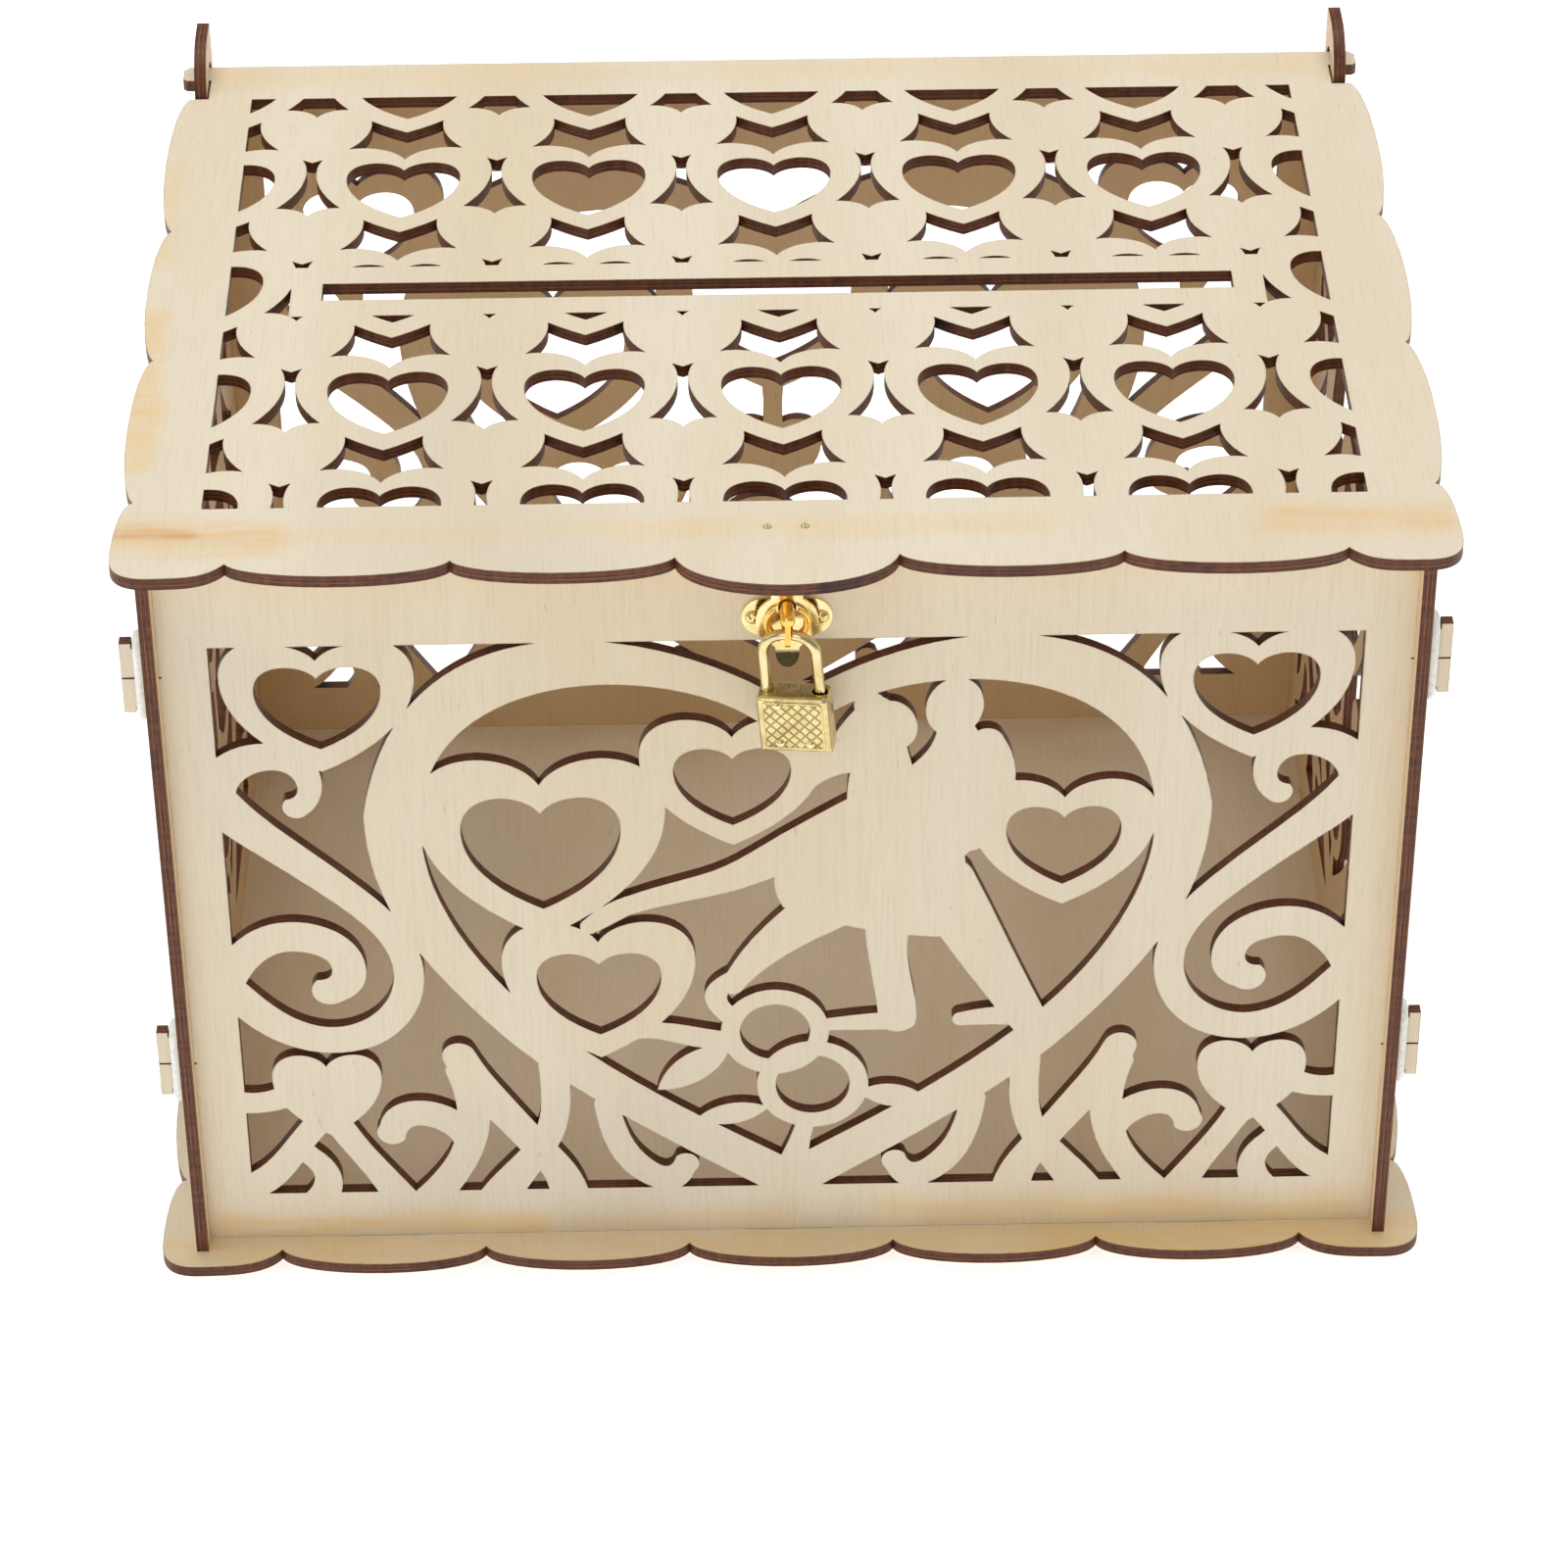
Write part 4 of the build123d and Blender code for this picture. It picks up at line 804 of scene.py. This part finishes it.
@dataclass
class Padlock:
    """The small brass padlock: a chequered face plate in a raised border on its case."""

    finish: Plating = Plating(
        "padlock_brass", srgb(222, 206, 152), srgb(196, 177, 122), srgb(110, 92, 56),
        roughness=0.2, grime=0.3)
    # Near-black plating for the bolt guide and latch bolt inside the case: painted shade inside the lock.
    hole: Plating = Plating(
        "padlock_inside", srgb(60, 48, 28), srgb(40, 30, 18), srgb(16, 12, 8), roughness=0.45, grime=0.6)
    bow: Plating = Plating(
        "bow_brass", srgb(228, 212, 162), srgb(204, 184, 130), srgb(110, 88, 48),
        roughness=0.12, grime=0.15)
    head: Plating = Plating(
        "rivet_brass", srgb(236, 222, 176), srgb(212, 194, 140), srgb(90, 74, 42),
        roughness=0.12, grime=0.3)
    # Darker plating for the walls of the face plate's grooves: painted shade in the grooves.
    seam: Plating = Plating(
        "padlock_grooves", srgb(168, 150, 100), srgb(142, 124, 78), srgb(70, 58, 34),
        roughness=0.35, grime=0.5)
    case_top: float = -15.2 * MM
    case_width: float = 16.6 * MM
    case_height: float = 15.0 * MM
    case_depth: float = 7.0 * MM
    margin: float = 1.25 * MM
    cell: float = 1.85 * MM
    groove: float = 0.24 * MM
    proud: float = 0.13 * MM
    plate_gap: tuple[float, float] = (0.9 * MM, 0.5 * MM)
    plate_thick: float = 0.35 * MM
    plate_lift: float = 0.02 * MM
    lip_wide: float = 0.45 * MM
    lip_rise: float = 0.3 * MM
    lip_corner: float = 1.5 * MM
    lip_soft: float = 0.1 * MM

    def hang(self) -> Matrix:
        """Where the padlock hangs: its own upright frame, from its joints.

        Returns:
            The transform from the padlock's own space.
        """
        joints = {joint["name"]: joint for joint in frame["joints"]}
        swing, slide = joints["padlock_swing"], joints["padlock_release"]
        across = -Vector(swing["axis"]).normalized()
        up = -Vector(slide["axis"]).normalized()
        away = up.cross(across)
        turn = Matrix((across, away, up)).transposed().to_4x4()
        return Matrix.Translation(Vector(swing["pos_m"])) @ turn

    def build(self, patina: bpy.types.NodeTree) -> None:
        """Finish the padlock's nodes and add its face plate."""
        brass, dark = self.finish.material(patina), self.hole.material(patina)
        # The parts inside the case take the near-black plating: painted shade.
        special = {
            "padlock_bolt_guide": dark,
            "padlock_latch_bolt": dark,
            "padlock_shackle": self.bow.material(patina),
            "padlock_rivets": self.head.material(patina),
        }
        for name, node in frame["nodes"].items():
            if name.startswith("padlock"):
                put_on(node, special.get(name, brass))
        hang = self.hang()
        self.face_plate(hang, brass, self.seam.material(patina))
        self.border(hang, brass)

    def face_plate(self, hang: Matrix, brass: bpy.types.Material, groove_shade: bpy.types.Material) -> None:
        """Model the chequered plate: a turned grid of small raised diamonds, cut to the face."""
        width = self.case_width - 2 * self.margin - self.plate_gap[0]
        height = self.case_height - 2 * self.margin - self.plate_gap[1]
        count = int(math.hypot(width, height) / self.cell) + 3
        begin()
        bpy.ops.mesh.primitive_grid_add(x_subdivisions=count, y_subdivisions=count, size=count * self.cell,
                                        rotation=(0, 0, math.pi / 4))
        plate = bpy.context.object
        bpy.ops.object.transform_apply(location=False, rotation=True, scale=False)
        bpy.ops.object.mode_set(mode="EDIT")
        bpy.ops.mesh.select_all(action="SELECT")
        for depth in (0.0, self.proud):
            bpy.ops.mesh.inset(thickness=self.groove / 2, depth=depth,
                               use_individual=True, use_even_offset=True)
        plate.data.materials.append(brass)
        plate.data.materials.append(groove_shade)
        # The groove walls take the darker plating: painted shade in the grooves.
        bpy.ops.mesh.select_all(action="INVERT")
        plate.active_material_index = 1
        bpy.ops.object.material_slot_assign()
        for x, y in ((1, 0), (-1, 0), (0, 1), (0, -1)):
            bpy.ops.mesh.select_all(action="SELECT")
            edge = (x * width / 2, y * height / 2, 0)
            bpy.ops.mesh.bisect(plane_co=edge, plane_no=(x, y, 0), clear_outer=True)
        bpy.ops.mesh.select_all(action="SELECT")
        bpy.ops.mesh.extrude_region_move(TRANSFORM_OT_translate={"value": (0, 0, -self.plate_thick)})
        bpy.ops.mesh.select_all(action="SELECT")
        bpy.ops.mesh.normals_make_consistent(inside=False)
        bpy.ops.object.mode_set(mode="OBJECT")
        finish_piece(plate, "padlock_face_plate", hang @ self.on_face(self.plate_lift), None, "padlock_case")

    def border(self, hang: Matrix, brass: bpy.types.Material) -> None:
        """Model the raised lip around the face plate, with softened corners."""
        width = self.case_width - 2 * self.margin
        height = self.case_height - 2 * self.margin + 0.2 * MM
        begin()
        bpy.ops.mesh.primitive_plane_add(size=1.0)
        lip = bpy.context.object
        lip.scale = (width, height, 1)
        bpy.ops.object.transform_apply(location=False, rotation=False, scale=True)
        bpy.ops.object.mode_set(mode="EDIT")
        choose(lip, lambda v: v.y > 0)
        bpy.ops.mesh.bevel(offset=self.lip_corner, segments=8, affect="VERTICES")
        bpy.ops.mesh.select_all(action="SELECT")
        bpy.ops.mesh.inset(thickness=self.lip_wide, depth=0.0)
        bpy.ops.mesh.delete(type="FACE")
        bpy.ops.mesh.select_all(action="SELECT")
        bpy.ops.mesh.extrude_region_move(TRANSFORM_OT_translate={"value": (0, 0, self.lip_rise)})
        bpy.ops.mesh.select_all(action="SELECT")
        bpy.ops.mesh.normals_make_consistent(inside=False)
        bpy.ops.object.mode_set(mode="OBJECT")
        soften = lip.modifiers.new("soften", "BEVEL")
        soften.width = self.lip_soft
        soften.segments = 2
        bpy.ops.object.modifier_apply(modifier="soften")
        bpy.ops.object.shade_smooth_by_angle(angle=math.radians(50))
        finish_piece(lip, "padlock_face_border", hang @ self.on_face(0.0), brass, "padlock_case")

    def on_face(self, proud: float) -> Matrix:
        """The middle of the case's front face, with Z towards the front.

        Args:
            proud: How far in front of the face.

        Returns:
            The transform in the padlock's own space.
        """
        middle = Vector((0.0, -self.case_depth / 2 - proud, self.case_top - self.case_height / 2))
        return Matrix.Translation(middle) @ Matrix.Rotation(math.pi / 2, 4, "X")


# ---- studio --------------------------------------------------------------------------
@dataclass
class Studio:
    """Floor, lights and camera."""

    eye: Vector = Vector((-16.0, -1100.75, 876.0)) * MM
    yaw: float = math.radians(0.87)
    pitch: float = math.radians(36.57)
    roll: float = math.radians(-0.39)
    lens: float = 122.6
    aim: Vector = Vector((0, 0, 0.1))
    floor_size: float = 12.0
    floor_z: float = -0.4 * MM
    floor_glow: float = 0.5
    horizon: Colour = srgb(206, 204, 201)
    ceiling: Colour = srgb(255, 255, 255)
    room_strength: float = 0.42

    def build(self) -> None:
        """Set up everything around the box."""
        bpy.context.scene.view_settings.view_transform = "Standard"
        self.floor()
        self.lights()
        self.camera()
        self.world()

    def floor(self) -> None:
        """A plain white floor that gives off a little light of its own."""
        begin()
        bpy.ops.mesh.primitive_plane_add(size=self.floor_size, location=(0, 0, self.floor_z))
        floor = bpy.context.object
        floor.name = "floor"
        material, _, shader = new_material("studio_floor")
        shader.inputs["Base Color"].default_value = (0.93, 0.93, 0.93, 1)
        shader.inputs["Roughness"].default_value = 0.9
        shader.inputs["Emission Color"].default_value = (1, 1, 1, 1)
        shader.inputs["Emission Strength"].default_value = self.floor_glow
        put_on(floor, material)
        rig.stage(floor)

    def lights(self) -> None:
        """A large soft light above and behind, and softer ones in front and at the sides."""
        for name, place, size, power in (
            ("top_light", (0.0, 0.25, 1.7), 1.6, 16.5),
            ("front_light", (-0.7, -2.0, 1.1), 1.2, 7.0),
            ("left_light", (-1.8, -0.3, 1.0), 1.0, 4.6),
            ("right_light", (1.8, 0.2, 1.0), 1.0, 3.2),
        ):
            light = bpy.data.lights.new(name, "AREA")
            light.shape = "SQUARE"
            light.size = size
            light.energy = power
            lamp = bpy.data.objects.new(name, light)
            bpy.context.scene.collection.objects.link(lamp)
            lamp.location = place
            lamp.rotation_euler = (self.aim - Vector(place)).to_track_quat("-Z", "Y").to_euler()
            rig.stage(lamp)

    def camera(self) -> None:
        """A long lens, looking down at the front."""
        ahead = Vector((math.sin(self.yaw) * math.cos(self.pitch),
                        math.cos(self.yaw) * math.cos(self.pitch), -math.sin(self.pitch)))
        right = Vector((math.cos(self.yaw), -math.sin(self.yaw), 0.0))
        up = right.cross(ahead)
        turned = math.cos(self.roll) * right + math.sin(self.roll) * up
        lifted = -math.sin(self.roll) * right + math.cos(self.roll) * up
        data = bpy.data.cameras.new("camera")
        data.lens = self.lens
        data.sensor_width = 36.0
        camera = bpy.data.objects.new("camera", data)
        bpy.context.scene.collection.objects.link(camera)
        turn = Matrix((turned, lifted, -ahead)).transposed().to_4x4()
        camera.matrix_world = Matrix.Translation(self.eye) @ turn
        bpy.context.scene.camera = camera

    def world(self) -> None:
        """A white room that is darker towards the horizon, which gives the metal something to mirror."""
        world = bpy.data.worlds.new("room")
        world.use_nodes = True
        t = Tree(world.node_tree)
        background = world.node_tree.nodes["Background"]
        axes = t.node("SeparateXYZ")
        t.feed(axes.inputs[0], t.node("TexCoord").outputs["Generated"])
        height = t.ramp(axes.outputs["Z"], 0.05, 0.6)
        t.feed(background.inputs["Color"], t.mix(height, self.horizon, self.ceiling))
        background.inputs["Strength"].default_value = self.room_strength
        bpy.context.scene.world = world


def main() -> None:
    """Build the box's looks and the studio."""
    logging.basicConfig(level=logging.INFO, format="%(message)s")
    works = PlywoodWorks()
    works.build()
    patina = make_patina()
    Carcass(works).dress()
    ElasticRings().build()
    Hasp().build(patina)
    Padlock().build(patina)
    Studio().build()
    with open(SIZE_FILE, "w") as out:
        json.dump({"cad": [list(v) for v in CAD_BOX], "visual": [list(v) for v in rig.bounds()]}, out)


if __name__ == "__main__":
    main()
